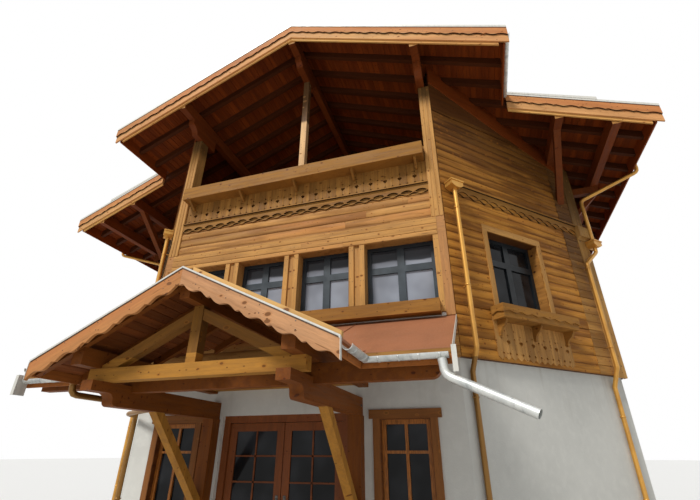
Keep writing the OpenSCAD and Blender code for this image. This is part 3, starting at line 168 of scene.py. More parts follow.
class ChaletColours(bpy.types.PropertyGroup):
    siding: colour_property("Wall boards", (184, 126, 50), "Wall boards of the slanting walls")
    front: colour_property("Front boards", (196, 144, 80), "Wall boards of the front")
    posts: colour_property("Posts", (194, 144, 80), "Posts and laid on boards")
    parapet: colour_property("Parapet", (156, 110, 50), "Parapet and trim")
    barge: colour_property("Bargeboards", (196, 134, 80), "Scalloped verge boards")
    beams: colour_property("Beams", (114, 53, 12), "Purlins and their bolsters")
    soffit: colour_property("Soffit", (132, 60, 12), "Boards under the roofs")
    braces: colour_property("Braces", (172, 120, 48), "Tie beam, king post and braces")
    porch: colour_property("Porch beams", (120, 66, 18), "Side beams and posts of the porch")
    boxes: colour_property("Boxes", (150, 104, 44), "Long boxes at the balcony and windows")
    door: colour_property("Doors", (124, 68, 32), "Entrance and balcony doors")
    plaster: colour_property("Plaster", (214, 214, 208), "Ground storey walls")
    sheet: colour_property("Sheet roof", (162, 104, 70), "Coated sheet of the porch")
    tiles: colour_property("Tiles", (150, 92, 68), "Clay roof tiles")
    zinc: colour_property("Zinc", (214, 216, 212), "Gutters and spout")
    drip: colour_property("Verge metal", (214, 212, 204), "Drip edges")
    copper: colour_property("Copper", (212, 158, 74), "Downpipes and rainwater heads")
    frames: colour_property("Window frames", (52, 60, 66), "Painted window frames")
    glass: colour_property("Glass", (158, 164, 176), "Window panes")
    soil: colour_property("Soil", (62, 44, 32), "Soil in the boxes")


# FINISHES

MATERIALS = {}


class Tree:
    """The node tree of a material or a world, built with short calls."""

    def __init__(self, owner):
        owner.use_nodes = True
        self.tree = owner.node_tree
        self.tree.nodes.clear()

    def node(self, kind, values=(), **settings):
        """A node with its settings, and values for its inputs by name or in order."""
        made = self.tree.nodes.new(kind)
        for key, value in settings.items():
            setattr(made, key, value)
        for key, value in values.items() if isinstance(values, dict) else enumerate(values):
            self.wire(made.inputs[key], value)
        return made

    def wire(self, socket, value):
        if isinstance(value, bpy.types.NodeSocket):
            self.tree.links.new(value, socket)
        elif isinstance(value, tuple) and len(value) == 3 and socket.type == "RGBA":
            socket.default_value = (*value, 1.0)
        else:
            socket.default_value = value

    def math(self, what, *values):
        return self.node("ShaderNodeMath", values, operation=what).outputs[0]

    def seen(self):
        """1 for rays that show the background directly or in metal and glass."""
        path = self.node("ShaderNodeLightPath").outputs
        indirect = self.math("MAXIMUM", path["Is Camera Ray"], path["Is Glossy Ray"])
        return self.math("MAXIMUM", indirect, path["Is Transmission Ray"])


class Finish(Tree):
    """A material, coloured coat by coat."""

    def __init__(self, name, colour):
        MATERIALS[name] = bpy.data.materials.new(name)
        super().__init__(MATERIALS[name])
        self.skin = self.node("ShaderNodeBsdfPrincipled")
        self.node("ShaderNodeOutputMaterial", {"Surface": self.skin.outputs[0]})
        coordinates = self.node("ShaderNodeTexCoord").outputs
        self.place, self.normal = coordinates["Object"], coordinates["Normal"]
        self.x, self.y, self.z = self.parts(self.place)
        self.base = tuple(colour)

    def times(self, a, b):
        return self.math("MULTIPLY", a, b)

    def above(self, value, limit):
        return self.math("GREATER_THAN", value, limit)

    def below(self, value, limit):
        return self.math("LESS_THAN", value, limit)

    def between(self, value, low, high):
        return self.times(self.above(value, low), self.below(value, high))

    def size(self, value):
        return self.math("ABSOLUTE", value)

    def from_middle(self):
        """Distance to the left or right of the middle of the house."""
        return self.size(self.x)

    def stretched(self, place, scales):
        made = self.node("ShaderNodeVectorMath", (place, scales), operation="MULTIPLY")
        return made.outputs[0]

    def parts(self, vector):
        return tuple(self.node("ShaderNodeSeparateXYZ", (vector,)).outputs)

    def joined(self, *values):
        return self.node("ShaderNodeCombineXYZ", values).outputs[0]

    def colours(self, factor, a, b, how="MIX"):
        values = {0: factor, 6: a, 7: b}
        return self.node("ShaderNodeMix", values, data_type="RGBA", blend_type=how).outputs[2]

    def coat(self, factor, tint, how="MIX"):
        """Lays a tint over the colour where factor is high."""
        self.base = self.colours(factor, self.base, tint, how)

    def vectors(self, factor, a, b):
        values = {0: factor, 4: a, 5: b}
        return self.node("ShaderNodeMix", values, data_type="VECTOR").outputs[1]

    def noise(self, where, scale, detail=2.0, rough=0.5, twist=0.0):
        values = {"Vector": where, "Scale": scale, "Detail": detail,
                  "Roughness": rough, "Distortion": twist}
        return self.node("ShaderNodeTexNoise", values).outputs["Fac"]

    def runs(self, across, down):
        """Streaks that water leaves down a surface."""
        return self.noise(self.stretched(self.place, (across, across, down)), 1.0, 3.0)

    def cells(self, where, scale, flat=False):
        made = self.node("ShaderNodeTexVoronoi", {"Vector": where, "Scale": scale},
                         voronoi_dimensions="2D" if flat else "3D")
        return made.outputs["Distance"], made.outputs["Color"]

    def chance(self, value):
        made = self.node("ShaderNodeTexWhiteNoise", {"W": value}, noise_dimensions="1D")
        return made.outputs["Value"]

    def stored(self, name, kind="Fac"):
        """A value that Stock keeps on the points of a mesh."""
        return self.node("ShaderNodeAttribute", attribute_name=name).outputs[kind]

    def ramp(self, value, low, high, out_low=0.0, out_high=1.0, how="SMOOTHSTEP"):
        values = (value, low, high, out_low, out_high)
        return self.node("ShaderNodeMapRange", values, interpolation_type=how).outputs[0]

    def bump(self, height, strength, distance):
        values = {"Strength": strength, "Distance": distance, "Height": height}
        self.wire(self.skin.inputs["Normal"], self.node("ShaderNodeBump", values).outputs[0])

    def finish(self, rough, metallic=0.0, gleam=0.5):
        self.wire(self.skin.inputs["Base Color"], self.base)
        self.wire(self.skin.inputs["Roughness"], rough)
        self.skin.inputs["Metallic"].default_value = metallic
        self.skin.inputs["Specular IOR Level"].default_value = gleam


GRAIN_STRETCH = 0.09
GRAIN_SCALES = {
    "level": (GRAIN_STRETCH, GRAIN_STRETCH, 1.0),
    "upright": (1.0, 1.0, GRAIN_STRETCH),
    "x": (GRAIN_STRETCH, 1.0, 1.0),
    "y": (1.0, GRAIN_STRETCH, 1.0),
    "stock": (GRAIN_STRETCH, 1.0, 1.0),
}
GRAIN_SLOPES = {"roof slope": ROOF_K, "porch slope": PORCH_K}


def grain_coordinates(tree, way):
    """Coordinates in metres that run slowly along the grain."""
    if way in GRAIN_SLOPES:
        across = tree.math("MULTIPLY_ADD", tree.from_middle(), GRAIN_SLOPES[way], tree.z)
        return tree.joined(tree.times(tree.x, GRAIN_STRETCH), tree.y, across)
    place = tree.stored("grain", "Vector") if way == "stock" else tree.place
    return tree.stretched(place, GRAIN_SCALES[way])


def board_joints(tree, coordinate, pitch, start):
    """A chance tone for each board of a solid, and the dark joints between the boards."""
    steps = tree.math("DIVIDE", tree.math("SUBTRACT", coordinate(tree), start), pitch)
    away = tree.size(tree.math("SUBTRACT", tree.math("FRACT", steps), 0.5))
    half_joint = 0.0035
    return tree.chance(tree.math("FLOOR", steps)), tree.ramp(away, 0.5 - half_joint / pitch, 0.5)


KNOT_SCALE, KNOT_SHARE = 7.0, 0.62
PIN_SCALE, PIN_SHARE = 15.0, 0.7


def larger_knots(tree, face, knots, dark):
    """Knots, each with its own size and halo, on the face of the board or wall."""
    distance, chances = tree.cells(face, KNOT_SCALE, flat=True)
    size = tree.parts(chances)[0]
    radius = tree.ramp(size, KNOT_SHARE, 1.0, 0.055 * knots, 0.135 * knots, "LINEAR")
    away = tree.math("SUBTRACT", distance, radius)
    has_knot = tree.above(size, KNOT_SHARE)
    tree.coat(tree.times(tree.ramp(away, 0.0, 0.09, 0.45, 0.0), has_knot), shade(dark, 2.2))
    tree.coat(tree.times(tree.ramp(away, -0.04, 0.0, 1.0, 0.0), has_knot), shade(dark, 0.95))


def small_pins(tree, face, dark):
    """Small dead knots and nail heads."""
    distance, chances = tree.cells(face, PIN_SCALE, flat=True)
    size = tree.parts(chances)[1]
    away = tree.math("SUBTRACT", distance, tree.ramp(size, PIN_SHARE, 1.0, 0.05, 0.12))
    pin = tree.ramp(away, -0.03, 0.01, 0.85, 0.0)
    tree.coat(tree.times(pin, tree.above(size, PIN_SHARE)), shade(dark, 0.7))


def timber(name, colour, way="level", spread=0.4, knots=1.0, streaks=0.4, red=0.0,
           exceptions=(), board_lines=None, tones=(), gloss=0.58, soot_and_shade=0.55):
    """Oiled or weathered softwood: growth bands, fine grain, streaks, checks and knots.

    exceptions lists (mask function, way) for members whose grain runs another way.
    board_lines gives (coordinate function, pitch, start) for joints between boards.
    tones lists (mask function, tint, amount) for parts with another tone, their own or painted
    shade and light.
    """
    tree = Finish(name, colour)
    grain = grain_coordinates(tree, way)
    for mask, other in exceptions:
        grain = tree.vectors(mask(tree), grain, grain_coordinates(tree, other))
    light, dark = shade(colour, 1.22), tinted(colour, (0.42, 0.33, 0.24))
    bands = tree.noise(grain, 30.0, 3.0, 0.55, 0.5)
    fine = tree.noise(grain, 130.0, 2.0, 0.6)
    broad = tree.noise(grain, 9.0, 3.0, 0.6, 0.3)
    patch = tree.noise(tree.place, 0.9, 2.0)
    tree.coat(tree.ramp(bands, 0.33, 0.68), light)
    tree.coat(tree.ramp(fine, 0.45, 0.75, 0.0, 0.35), shade(colour, 0.62))
    tone, joint = patch, None
    if way == "stock":
        tone = tree.stored("tone")
    elif board_lines:
        tone, joint = board_joints(tree, *board_lines)
    tree.coat(tree.ramp(tone, 0.45, 1.0, 0.0, spread), shade(light, 1.12))
    tree.coat(tree.ramp(tone, 0.0, 0.5, spread, 0.0), shade(colour, 0.5))
    if red:
        warm = tree.ramp(tree.noise(grain, 2.4, 2.0), 0.42, 0.62, 0.0, red)
        if way == "stock":
            warm = tree.times(warm, tree.ramp(tree.chance(tone), 0.3, 0.7))
        tree.coat(warm, tinted(colour, (0.95, 0.68, 0.66)))
    stain = tree.math("MULTIPLY_ADD", broad, 0.75, tree.times(patch, 0.35))
    tree.coat(tree.ramp(stain, 0.47, 0.67, 0.0, streaks), dark)
    # Darker near each board's edges, more at the lower edge: partly weathered joints, partly
    # painted shade under the board's swell
    if way == "stock":
        worn = tree.ramp(broad, 0.35, 0.6, 0.35 * soot_and_shade, soot_and_shade)
        tree.coat(tree.times(tree.stored("edge"), worn), shade(dark, 0.8))
    # Tones of parts: their own colour, or painted shade and light where listed
    for mask, tint, amount in tones:
        change = tuple(t / max(c, 0.001) for t, c in zip(tint, colour))
        tree.coat(tree.times(mask(tree), amount), change, "MULTIPLY")
    # Checks: thin dark cracks along the grain
    crack = tree.ramp(tree.noise(grain, 52.0, 1.0, 0.4, 0.2), 0.70, 0.78)
    crack = tree.times(crack, tree.ramp(broad, 0.40, 0.6))
    tree.coat(tree.times(crack, 0.6), shade(dark, 0.5))
    if way == "stock":
        face = tree.stretched(grain, (9.0, 1.0, 1.0))
    else:
        along = tree.math("MULTIPLY_ADD", tree.x, 0.6, tree.times(tree.y, 1.5))
        face = tree.joined(along, tree.z, 0.0)
    larger_knots(tree, face, knots, dark)
    height = tree.math("MULTIPLY_ADD", fine, 0.35, bands)
    height = tree.math("SUBTRACT", height, tree.times(crack, 1.4))
    if joint is not None:
        tree.coat(tree.times(joint, 0.85), shade(dark, 0.35))
        height = tree.math("SUBTRACT", height, tree.times(joint, 5.0))
    small_pins(tree, face, dark)
    tree.bump(height, 0.45, 0.002)
    tree.finish(tree.ramp(bands, 0.3, 0.7, gloss, gloss + 0.2), gleam=0.22)


def plaster(name, colour):
    tree = Finish(name, colour)
    cloud = tree.noise(tree.place, 1.3, 4.0, 0.6)
    mottle = tree.noise(tree.place, 9.0, 3.0)
    grit = tree.noise(tree.place, 210.0, 2.0)
    tree.coat(tree.ramp(cloud, 0.35, 0.7), shade(colour, 0.92))
    tree.coat(tree.ramp(mottle, 0.45, 0.7, 0.0, 0.4), shade(colour, 1.08))
    splash = tree.math("MULTIPLY_ADD", mottle, -0.35, tree.z)
    tree.coat(tree.ramp(splash, 0.0, 0.32, 0.6, 0.0), linear(150, 142, 126))
    below_timber = tree.ramp(tree.z, 2.0, GROUND_H, 0.0, 0.35)
    tree.coat(tree.times(tree.ramp(tree.runs(7.0, 0.5), 0.55, 0.75), below_timber),
              linear(168, 160, 144))
    tree.bump(tree.math("MULTIPLY_ADD", grit, 0.5, tree.noise(tree.place, 42.0, 3.0)), 0.5, 0.004)
    tree.finish(tree.ramp(grit, 0.3, 0.7, 0.82, 0.95))


def coated_sheet(name, colour):
    tree = Finish(name, colour)
    cloud = tree.noise(tree.place, 1.1, 3.0, 0.6)
    specks = tree.noise(tree.place, 65.0, 3.0)
    tree.coat(tree.ramp(cloud, 0.35, 0.7), shade(colour, 0.80))
    tree.coat(tree.ramp(specks, 0.58, 0.74, 0.0, 0.35), shade(colour, 1.25))
    runs = tree.noise(tree.stretched(tree.place, (9.0, 1.2, 1.2)), 1.0, 3.0)
    tree.coat(tree.ramp(runs, 0.5, 0.8, 0.0, 0.3), shade(colour, 0.62))
    tree.bump(tree.noise(tree.place, 7.0, 2.0), 0.2, 0.004)
    tree.finish(tree.ramp(specks, 0.3, 0.7, 0.48, 0.66))


def metal(name, colour, dull, metallic, low, high, dull_amount=0.6, scale=6.0, lines=()):
    """Weathered metal: patches of a duller tone, fine spangle and rain streaks."""
    tree = Finish(name, colour)
    cloud = tree.noise(tree.place, scale, 4.0, 0.6)
    spangle, _ = tree.cells(tree.place, 70.0)
    tree.coat(tree.ramp(cloud, 0.40, 0.68, 0.0, dull_amount), dull)
    tree.coat(tree.ramp(tree.runs(22.0, 1.6), 0.5, 0.72, 0.0, 0.4), shade(dull, 0.8))
    tree.coat(tree.ramp(spangle, 0.0, 0.5, 0.12, 0.0), shade(colour, 1.3))
    for mask, tint in lines:
        tree.coat(mask(tree), tint)
    tree.bump(tree.noise(tree.place, 30.0, 2.0), 0.15, 0.002)
    tree.finish(tree.ramp(cloud, 0.3, 0.7, low, high), metallic)


def clay_tiles(name, colour):
    """Fired clay: a tone for each tile, clouds, moss and grit."""
    tree = Finish(name, shade(colour, 0.72))
    cloud = tree.noise(tree.place, 2.2, 3.0)
    grit = tree.noise(tree.place, 150.0, 3.0)
    tree.coat(tree.ramp(tree.stored("tone"), 0.0, 1.0), shade(colour, 1.18))
    tree.coat(tree.ramp(cloud, 0.45, 0.7, 0.0, 0.45), shade(colour, 0.52))
    moss = tree.times(tree.ramp(tree.noise(tree.place, 24.0, 3.0), 0.60, 0.72),
                      tree.ramp(cloud, 0.48, 0.62))
    tree.coat(tree.times(moss, 0.6), linear(118, 116, 84))
    tree.coat(tree.ramp(grit, 0.4, 0.75, 0.0, 0.4), shade(colour, 1.3))
    tree.bump(grit, 0.35, 0.002)
    tree.finish(tree.ramp(grit, 0.3, 0.7, 0.7, 0.9))


def frame_paint(name, colour, stain):
    """Dark paint upstairs and stained timber on the ground storey."""
    tree = Finish(name, colour)
    grain = tree.noise(tree.stretched(tree.place, (1.0, 1.0, 0.12)), 90.0, 2.0)
    wear = tree.noise(tree.place, 5.0, 3.0)
    tree.coat(tree.ramp(wear, 0.4, 0.7), shade(colour, 1.45))
    # Painted shade: darker frames beyond the front, and darker towards the heads of the front
    # windows
    tree.coat(tree.above(tree.from_middle(), HALF_FRONT), shade(colour, 0.36))
    tree.coat(tree.ramp(tree.z, 4.48, 4.60, 0.0, 0.75), shade(colour, 0.3))
    stained = tree.colours(tree.ramp(grain, 0.35, 0.7), stain, shade(stain, 0.5))
    tree.coat(tree.below(tree.z, GROUND_H), stained)
    tree.bump(grain, 0.2, 0.001)
    tree.finish(tree.ramp(wear, 0.3, 0.7, 0.32, 0.5), gleam=0.28)


def pane(name, colour):
    """Glass near black, painted shade for the dark rooms behind, with faint painted reflections;
    the front row is pale, a painted reflection of the sky, darker at the top as painted shade of
    the window head.
    """
    tree = Finish(name, shade(colour, 0.02))
    cloud = tree.noise(tree.place, 1.6, 2.0)
    # pale is a painted reflection of the sky, and its top a painted shade of the window head
    pale = tree.colours(tree.ramp(cloud, 0.35, 0.7), shade(colour, 0.62), tuple(colour))
    painted_head_shade = tree.math("MULTIPLY_ADD", cloud, 0.12, tree.z)
    pale = tree.colours(tree.ramp(painted_head_shade, 4.60, 4.64, 0.0, 0.92), pale, shade(colour, 0.06))
    # Faint lighter patches: painted reflection on the dark glass
    tree.coat(tree.ramp(cloud, 0.40, 0.72), shade(colour, 0.09))
    tree.coat(tree.times(tree.below(tree.y, FRONT_Y + 0.3), tree.above(tree.z, GROUND_H)), pale)
    tree.bump(tree.noise(tree.place, 2.4, 1.0), 0.05, 0.01)
    tree.skin.inputs["IOR"].default_value = 1.45
    tree.finish(tree.ramp(cloud, 0.3, 0.7, 0.05, 0.12), gleam=0.18)


def soil(name, colour):
    tree = Finish(name, shade(colour, 0.5))
    clods = tree.noise(tree.place, 38.0, 5.0, 0.7)
    crumbs, _ = tree.cells(tree.place, 120.0)
    tree.coat(tree.ramp(clods, 0.35, 0.7), shade(colour, 1.5))
    tree.coat(tree.ramp(crumbs, 0.0, 0.35, 0.4, 0.0), shade(colour, 2.4))
    tree.bump(tree.math("ADD", clods, crumbs), 0.9, 0.006)
    tree.finish(tree.ramp(clods, 0.3, 0.7, 0.85, 1.0))


def iron(name):
    tree = Finish(name, linear(62, 60, 58))
    wear = tree.noise(tree.place, 60.0, 3.0)
    tree.coat(tree.ramp(wear, 0.4, 0.7), linear(112, 108, 102))
    tree.bump(wear, 0.2, 0.001)
    tree.finish(tree.ramp(wear, 0.3, 0.7, 0.35, 0.55), 0.8)


# Masks for members whose grain or tone differs from the rest of their node, and for painted shade
# and light

def height_between(low, high):
    return lambda tree: tree.between(tree.z, low, high)


def painted_eave_shade(low, high):
    """Rises with height on the walls and posts: painted shade where the eaves shadow them."""
    return lambda tree: tree.ramp(tree.z, low, high)


def roof_depth(tree, top, slope):
    """Depth below the upper side of a roof that is top high at its ridge."""
    return tree.math("SUBTRACT", top, tree.math("MULTIPLY_ADD", tree.from_middle(), slope, tree.z))


def depth_between(low, high):
    return lambda tree: tree.between(roof_depth(tree, RIDGE_H, ROOF_K), low, high)


def corner_pipe_foot(tree):
    """Lower end of the two pipes beside the corner posts."""
    near = tree.below(tree.from_middle(), HALF_FRONT + 1.0)
    return tree.times(tree.times(near, tree.below(tree.z, GROUND_H)), 0.8)


def left_half(tree):
    return tree.below(tree.x, 0.0)


def king_post(tree):
    middle = tree.below(tree.from_middle(), KING_HALF + 0.0005)
    return tree.times(middle, tree.above(tree.z, TIE_TOP))


def principals(tree):
    beside = tree.above(tree.from_middle(), KING_HALF - 0.0005)
    return tree.times(beside, tree.above(tree.z, TIE_TOP))


def lower_corner_board(tree):
    """The corner post's board beside the window row."""
    return tree.times(tree.above(tree.from_middle(), 2.492), tree.below(tree.z, ATTIC_H - 0.30))


def end_faces(tree):
    """End grain of the beams that run from front to back."""
    return tree.above(tree.size(tree.parts(tree.normal)[1]), 0.9)


def shadow_painted_edges(tree):
    """Edges of boards laid on the front and on the slanting walls, where a dark tone paints the
    shadow lines along them.
    """
    x, y, _ = tree.parts(tree.normal)
    facing = tree.size(y)
    for turn in ("ADD", "SUBTRACT"):
        slanted = tree.times(tree.size(tree.math(turn, x, y)), DIAGONAL)
        facing = tree.math("MAXIMUM", facing, slanted)
    return tree.below(facing, 0.85)


def window_reveals(tree):
    """Upright cheeks of the windows in the slanting walls."""
    x, y, _ = tree.parts(tree.normal)
    along = tree.math("MULTIPLY_ADD", x, tree.math("SIGN", tree.x), y)
    return tree.times(tree.above(tree.size(along), 1.2), tree.between(tree.z, 3.7, 5.2))


def scallop_shadow_line(tree):
    """The scalloped lower edge of the upper bargeboard, darkened as a painted shadow line."""
    return tree.times(shadow_painted_edges(tree), depth_between(0.10, 0.215)(tree))


def porch_batten(tree):
    return tree.below(roof_depth(tree, PORCH_TOP, PORCH_K), -0.0105)


def flashing_shadow_line(tree):
    """The lower edge of the porch's verge metal, painted dark as the shadow line under the lip."""
    low = tree.above(roof_depth(tree, PORCH_TOP, PORCH_K), 0.003)
    verge_y, edge = -6.4, PORCH_HALF - 0.01
    front = tree.times(tree.below(tree.y, verge_y), tree.below(tree.from_middle(), edge))
    return tree.times(front, low)


def cant_run(tree):
    """Distance along a slanting wall from its front corner."""
    plan = tree.math("ADD", tree.from_middle(), tree.y)
    return tree.times(tree.math("SUBTRACT", plan, HALF_FRONT + FRONT_Y), DIAGONAL)


def across_front(tree):
    return tree.x


# MESHES

PLAIN_TONE = 0.5


def prism_faces(count):
    """Faces of a prism whose points list one end and then the other."""
    faces = [list(range(count)), list(range(2 * count - 1, count - 1, -1))]
    return faces + [[i, i + count, (i + 1) % count + count, (i + 1) % count] for i in range(count)]


def drawn_faces(steps, sides):
    """Faces of a section drawn through a number of steps, closed at both ends."""
    faces = []
    for start in range(0, steps * sides, sides):
        for k in range(sides):
            m = (k + 1) % sides
            faces.append([start + k, start + m, start + sides + m, start + sides + k])
    return faces + [list(range(sides)), list(range(steps * sides, (steps + 1) * sides))]


class Spot:
    """A local frame: u along a piece, v across it and n out of its face."""

    def __init__(self, origin, u, v, n):
        self.origin, self.u, self.v, self.n = (Vector(a) for a in (origin, u, v, n))

    def at(self, s, v, n):
        return self.origin + self.u * s + self.v * v + self.n * n

    def mirrored(self):
        return Spot(*(Vector((-a.x, a.y, a.z)) for a in (self.origin, self.u, self.v, self.n)))


class Stock:
    """Boards, blocks and turned parts gathered into one mesh."""

    def __init__(self, seed):
        self.points, self.faces, self.smooth = [], [], []
        self.tones, self.grains, self.edges = [], [], []
        self.random = random.Random(seed)

    def shell(self, points, faces, tone=PLAIN_TONE, grains=None, smooth=False, edges=None):
        start = len(self.points)
        self.points.extend(points)
        self.faces.extend([start + i for i in face] for face in faces)
        self.smooth.extend([smooth] * len(faces))
        self.tones.extend([tone] * len(points))
        self.grains.extend(grains or [tuple(p) for p in points])
        self.edges.extend(edges or [0.0] * len(points))

    def plank(self, spot, s0, s1, v0, profile, ends=None, tone=None):
        """A profile of (v, n) points drawn out along u, its ends kept inside ends(v)."""
        tone = self.random.random() if tone is None else tone
        shift, lift = self.random.uniform(0, 40), self.random.uniform(0, 40)
        points, grains, edges = [], [], []
        low = min(v for v, n in profile)
        high = max(v for v, n in profile)
        for s_end in (s0, s1):
            for v, n in profile:
                s = s_end
                if ends:
                    nearest, furthest = ends(v0 + v)
                    s = min(max(s, nearest), furthest)
                points.append(spot.at(s, v0 + v, n))
                # Nearness to the board's edges, reaching further in from the low edge: it carries
                # the timber's darker edges of wear and painted shade
                edges.append(max(0.0, 1.0 - min(v - low, 1.6 * (high - v)) / (0.3 * (high - low))))
                grains.append((s + shift, v + lift, n))
        self.shell(points, prism_faces(len(profile)), tone, grains, edges=edges)

    def lengths(self, start, stop, shortest, longest):
        """Start and end of each board of a run laid end to end."""
        while start < stop - 0.001:
            end = min(stop, start + self.random.uniform(shortest, longest))
            yield start, end
            start = end

    def plate(self, spot, outline, n0, n1, tone):
        """A flat outline of (s, v) points with a thickness from n0 to n1."""
        shift = self.random.uniform(0, 40)
        points = [spot.at(s, v, n) for n in (n0, n1) for s, v in outline]
        grains = [(s + shift, v, n) for n in (n0, n1) for s, v in outline]
        self.shell(points, prism_faces(len(outline)), tone, grains)

    def block(self, spot, lo, hi, tone=None, chamfer=0.0):
        """A box between two corners in (s, v, n), its long outer edges chamfered."""
        width, c = hi[1] - lo[1], chamfer
        profile = [(0, lo[2]), (0, hi[2]), (width, hi[2]), (width, lo[2])]
        if c:
            profile[1:3] = [(0, hi[2] - c), (c, hi[2]), (width - c, hi[2]), (width, hi[2] - c)]
        self.plank(spot, lo[0], hi[0], lo[1], profile, tone=tone)

    def turned(self, spot, profile, sides=12):
        """A profile of (radius, along n) points turned about n; a radius of 0 closes an end."""
        points, faces, rings = [], [], []
        for radius, n in profile:
            ring = []
            for i in range(sides if radius else 1):
                a = 2 * math.pi * i / sides
                ring.append(len(points))
                points.append(spot.at(radius * math.cos(a), radius * math.sin(a), n))
            rings.append(ring)
        for a, b in zip(rings, rings[1:]):
            for i in range(sides):
                j = (i + 1) % sides
                face = [a[i % len(a)], a[j % len(a)], b[j % len(b)], b[i % len(b)]]
                faces.append([p for k, p in enumerate(face) if p not in face[:k]])
        self.shell(points, faces, smooth=True)

    def tube(self, route, radius, sides=10):
        """A round bar along a route, closed at both ends."""
        points = []
        for i, p in enumerate(route):
            way = Vector(route[min(i + 1, len(route) - 1)]) - Vector(route[max(i - 1, 0)])
            way.normalize()
            side = way.cross(Vector((0.31, 0.52, 0.79))).normalized()
            other = way.cross(side)
            for k in range(sides):
                a = 2 * math.pi * k / sides
                points.append(Vector(p) + radius * (math.cos(a) * side + math.sin(a) * other))
        self.shell(points, drawn_faces(len(route) - 1, sides), smooth=True)

    def strap(self, spot, radius, thickness, half_width, start, stop, steps=12):
        """A flat band bent round the n axis from one angle to another, in degrees."""
        points = []
        for i in range(steps + 1):
            a = math.radians(start + (stop - start) * i / steps)
            for r, n in ((radius, -half_width), (radius + thickness, -half_width),
                         (radius + thickness, half_width), (radius, half_width)):
                points.append(spot.at(r * math.cos(a), r * math.sin(a), n))
        self.shell(points, drawn_faces(steps, 4), smooth=True)

    def build(self, name, finish, body="house"):
        """Makes the mesh an object that rides on a body."""
        mesh = bpy.data.meshes.new(name)
        offset = Vector((0, FRONT_Y, 0))
        mesh.from_pydata([p + offset for p in self.points], [], self.faces)
        mesh.polygons.foreach_set("use_smooth", self.smooth)
        for key, kind, field, values in (
            ("grain", "FLOAT_VECTOR", "vector", [c for g in self.grains for c in g]),
            ("tone", "FLOAT", "value", self.tones),
            ("edge", "FLOAT", "value", self.edges),
        ):
            mesh.attributes.new(key, kind, "POINT").data.foreach_set(field, values)
        work = bmesh.new()
        work.from_mesh(mesh)
        bmesh.ops.recalc_face_normals(work, faces=work.faces)
        work.to_mesh(mesh)
        work.free()
        mesh.materials.append(MATERIALS[finish])
        made = bpy.data.objects.new(name, mesh)
        bpy.context.scene.collection.objects.link(made)
        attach(made, body)


# WALLS AND SLOPES

def wall_spot(wall, left=False):
    """Frame of a wall, right half of the house unless left is set: s along, v up, n out."""
    origin, along = {
        "front": ((-HALF_FRONT, 0, 0), (1, 0, 0)),
        "cant": ((HALF_FRONT, 0, 0), (DIAGONAL, DIAGONAL, 0)),
        "side": ((HALF_BODY, CANT, 0), (0, 1, 0)),
        "back": ((HALF_BODY, DEPTH, 0), (-1, 0, 0)),
    }[wall]
    spot = Spot(origin, along, UP, (along[1], -along[0], 0))
    return spot.mirrored() if left else spot


def facing(x, y, z=0.0, side=1, out=-1):
    """Frame across the house: s to one side, v up, n to the front or, where out is 1, the back."""
    return Spot((x, y, z), (side, 0, 0), UP, (0, out, 0))


def rafter_z(x):
    """Height of the rafters' underside at x."""
    return roof_z(x) - FRAME_V


def rafter_reach(z):
    """Distance from the middle at which the rafters' underside is z high."""
    return max(0.0, (rafter_z(0) - z) / ROOF_K)


def wall_ends(wall):
    """The stretch of a wall that lies under the rafters at a height."""
    lengths = {"front": 2 * HALF_FRONT, "side": SIDE_LEN}

    def ends(z):
        if wall == "cant":
            along = (rafter_reach(z) - HALF_FRONT) * math.sqrt(2)
            return 0.0, min(CANT_LEN, max(0.0, along))
        if wall == "back":
            half = min(HALF_BODY, rafter_reach(z))
            return HALF_BODY - half, HALF_BODY + half
        return 0.0, lengths[wall]

    return ends


def cant_siding_ends(z):
    """The siding of a slanting wall stops below a plain panel that follows the rafters."""
    panel_foot = 8.30
    return 0.0, min(CANT_LEN, max(0.0, (panel_foot - z) / (ROOF_K * DIAGONAL)))


def slope_ways(ahead, slope):
    """The way down a roof slope that faces ahead, and the way out of its upper side."""
    angle, ahead = math.atan(slope), Vector(ahead)
    down = ahead * math.cos(angle) - UP * math.sin(angle)
    return down, ahead * math.sin(angle) + UP * math.cos(angle)


def slope_cosine(slope):
    return math.cos(math.atan(slope))


def free_runs(s0, s1, z0, z1, holes):
    """Stretches of one course that no opening crosses."""
    runs = [(s0, s1)]
    for a, b, low, high in holes:
        if high > z0 + 0.001 and low < z1 - 0.001:
            split = [piece for p, q in runs for piece in ((p, min(q, a)), (max(p, b), q))]
            runs = [run for run in split if run[1] - run[0] > 0.02]
    return runs


def board_profile(width, proud):
    """Section of a wall board: a soft swell between two chamfered edges."""
    return [
        (0.001, 0.0), (0.001, 0.15 * proud), (0.09 * width, 0.62 * proud),
        (0.26 * width, 0.92 * proud), (0.50 * width, proud), (0.72 * width, 0.86 * proud),
        (0.90 * width, 0.50 * proud), (width - 0.002, 0.10 * proud), (width - 0.002, 0.0),
    ]


def strip_profile(width, proud):
    """Section of the narrow piece of a board that an opening leaves."""
    return [(0.0, 0.0), (0.0, 0.9 * proud), (width, 0.9 * proud), (width, 0.0)]


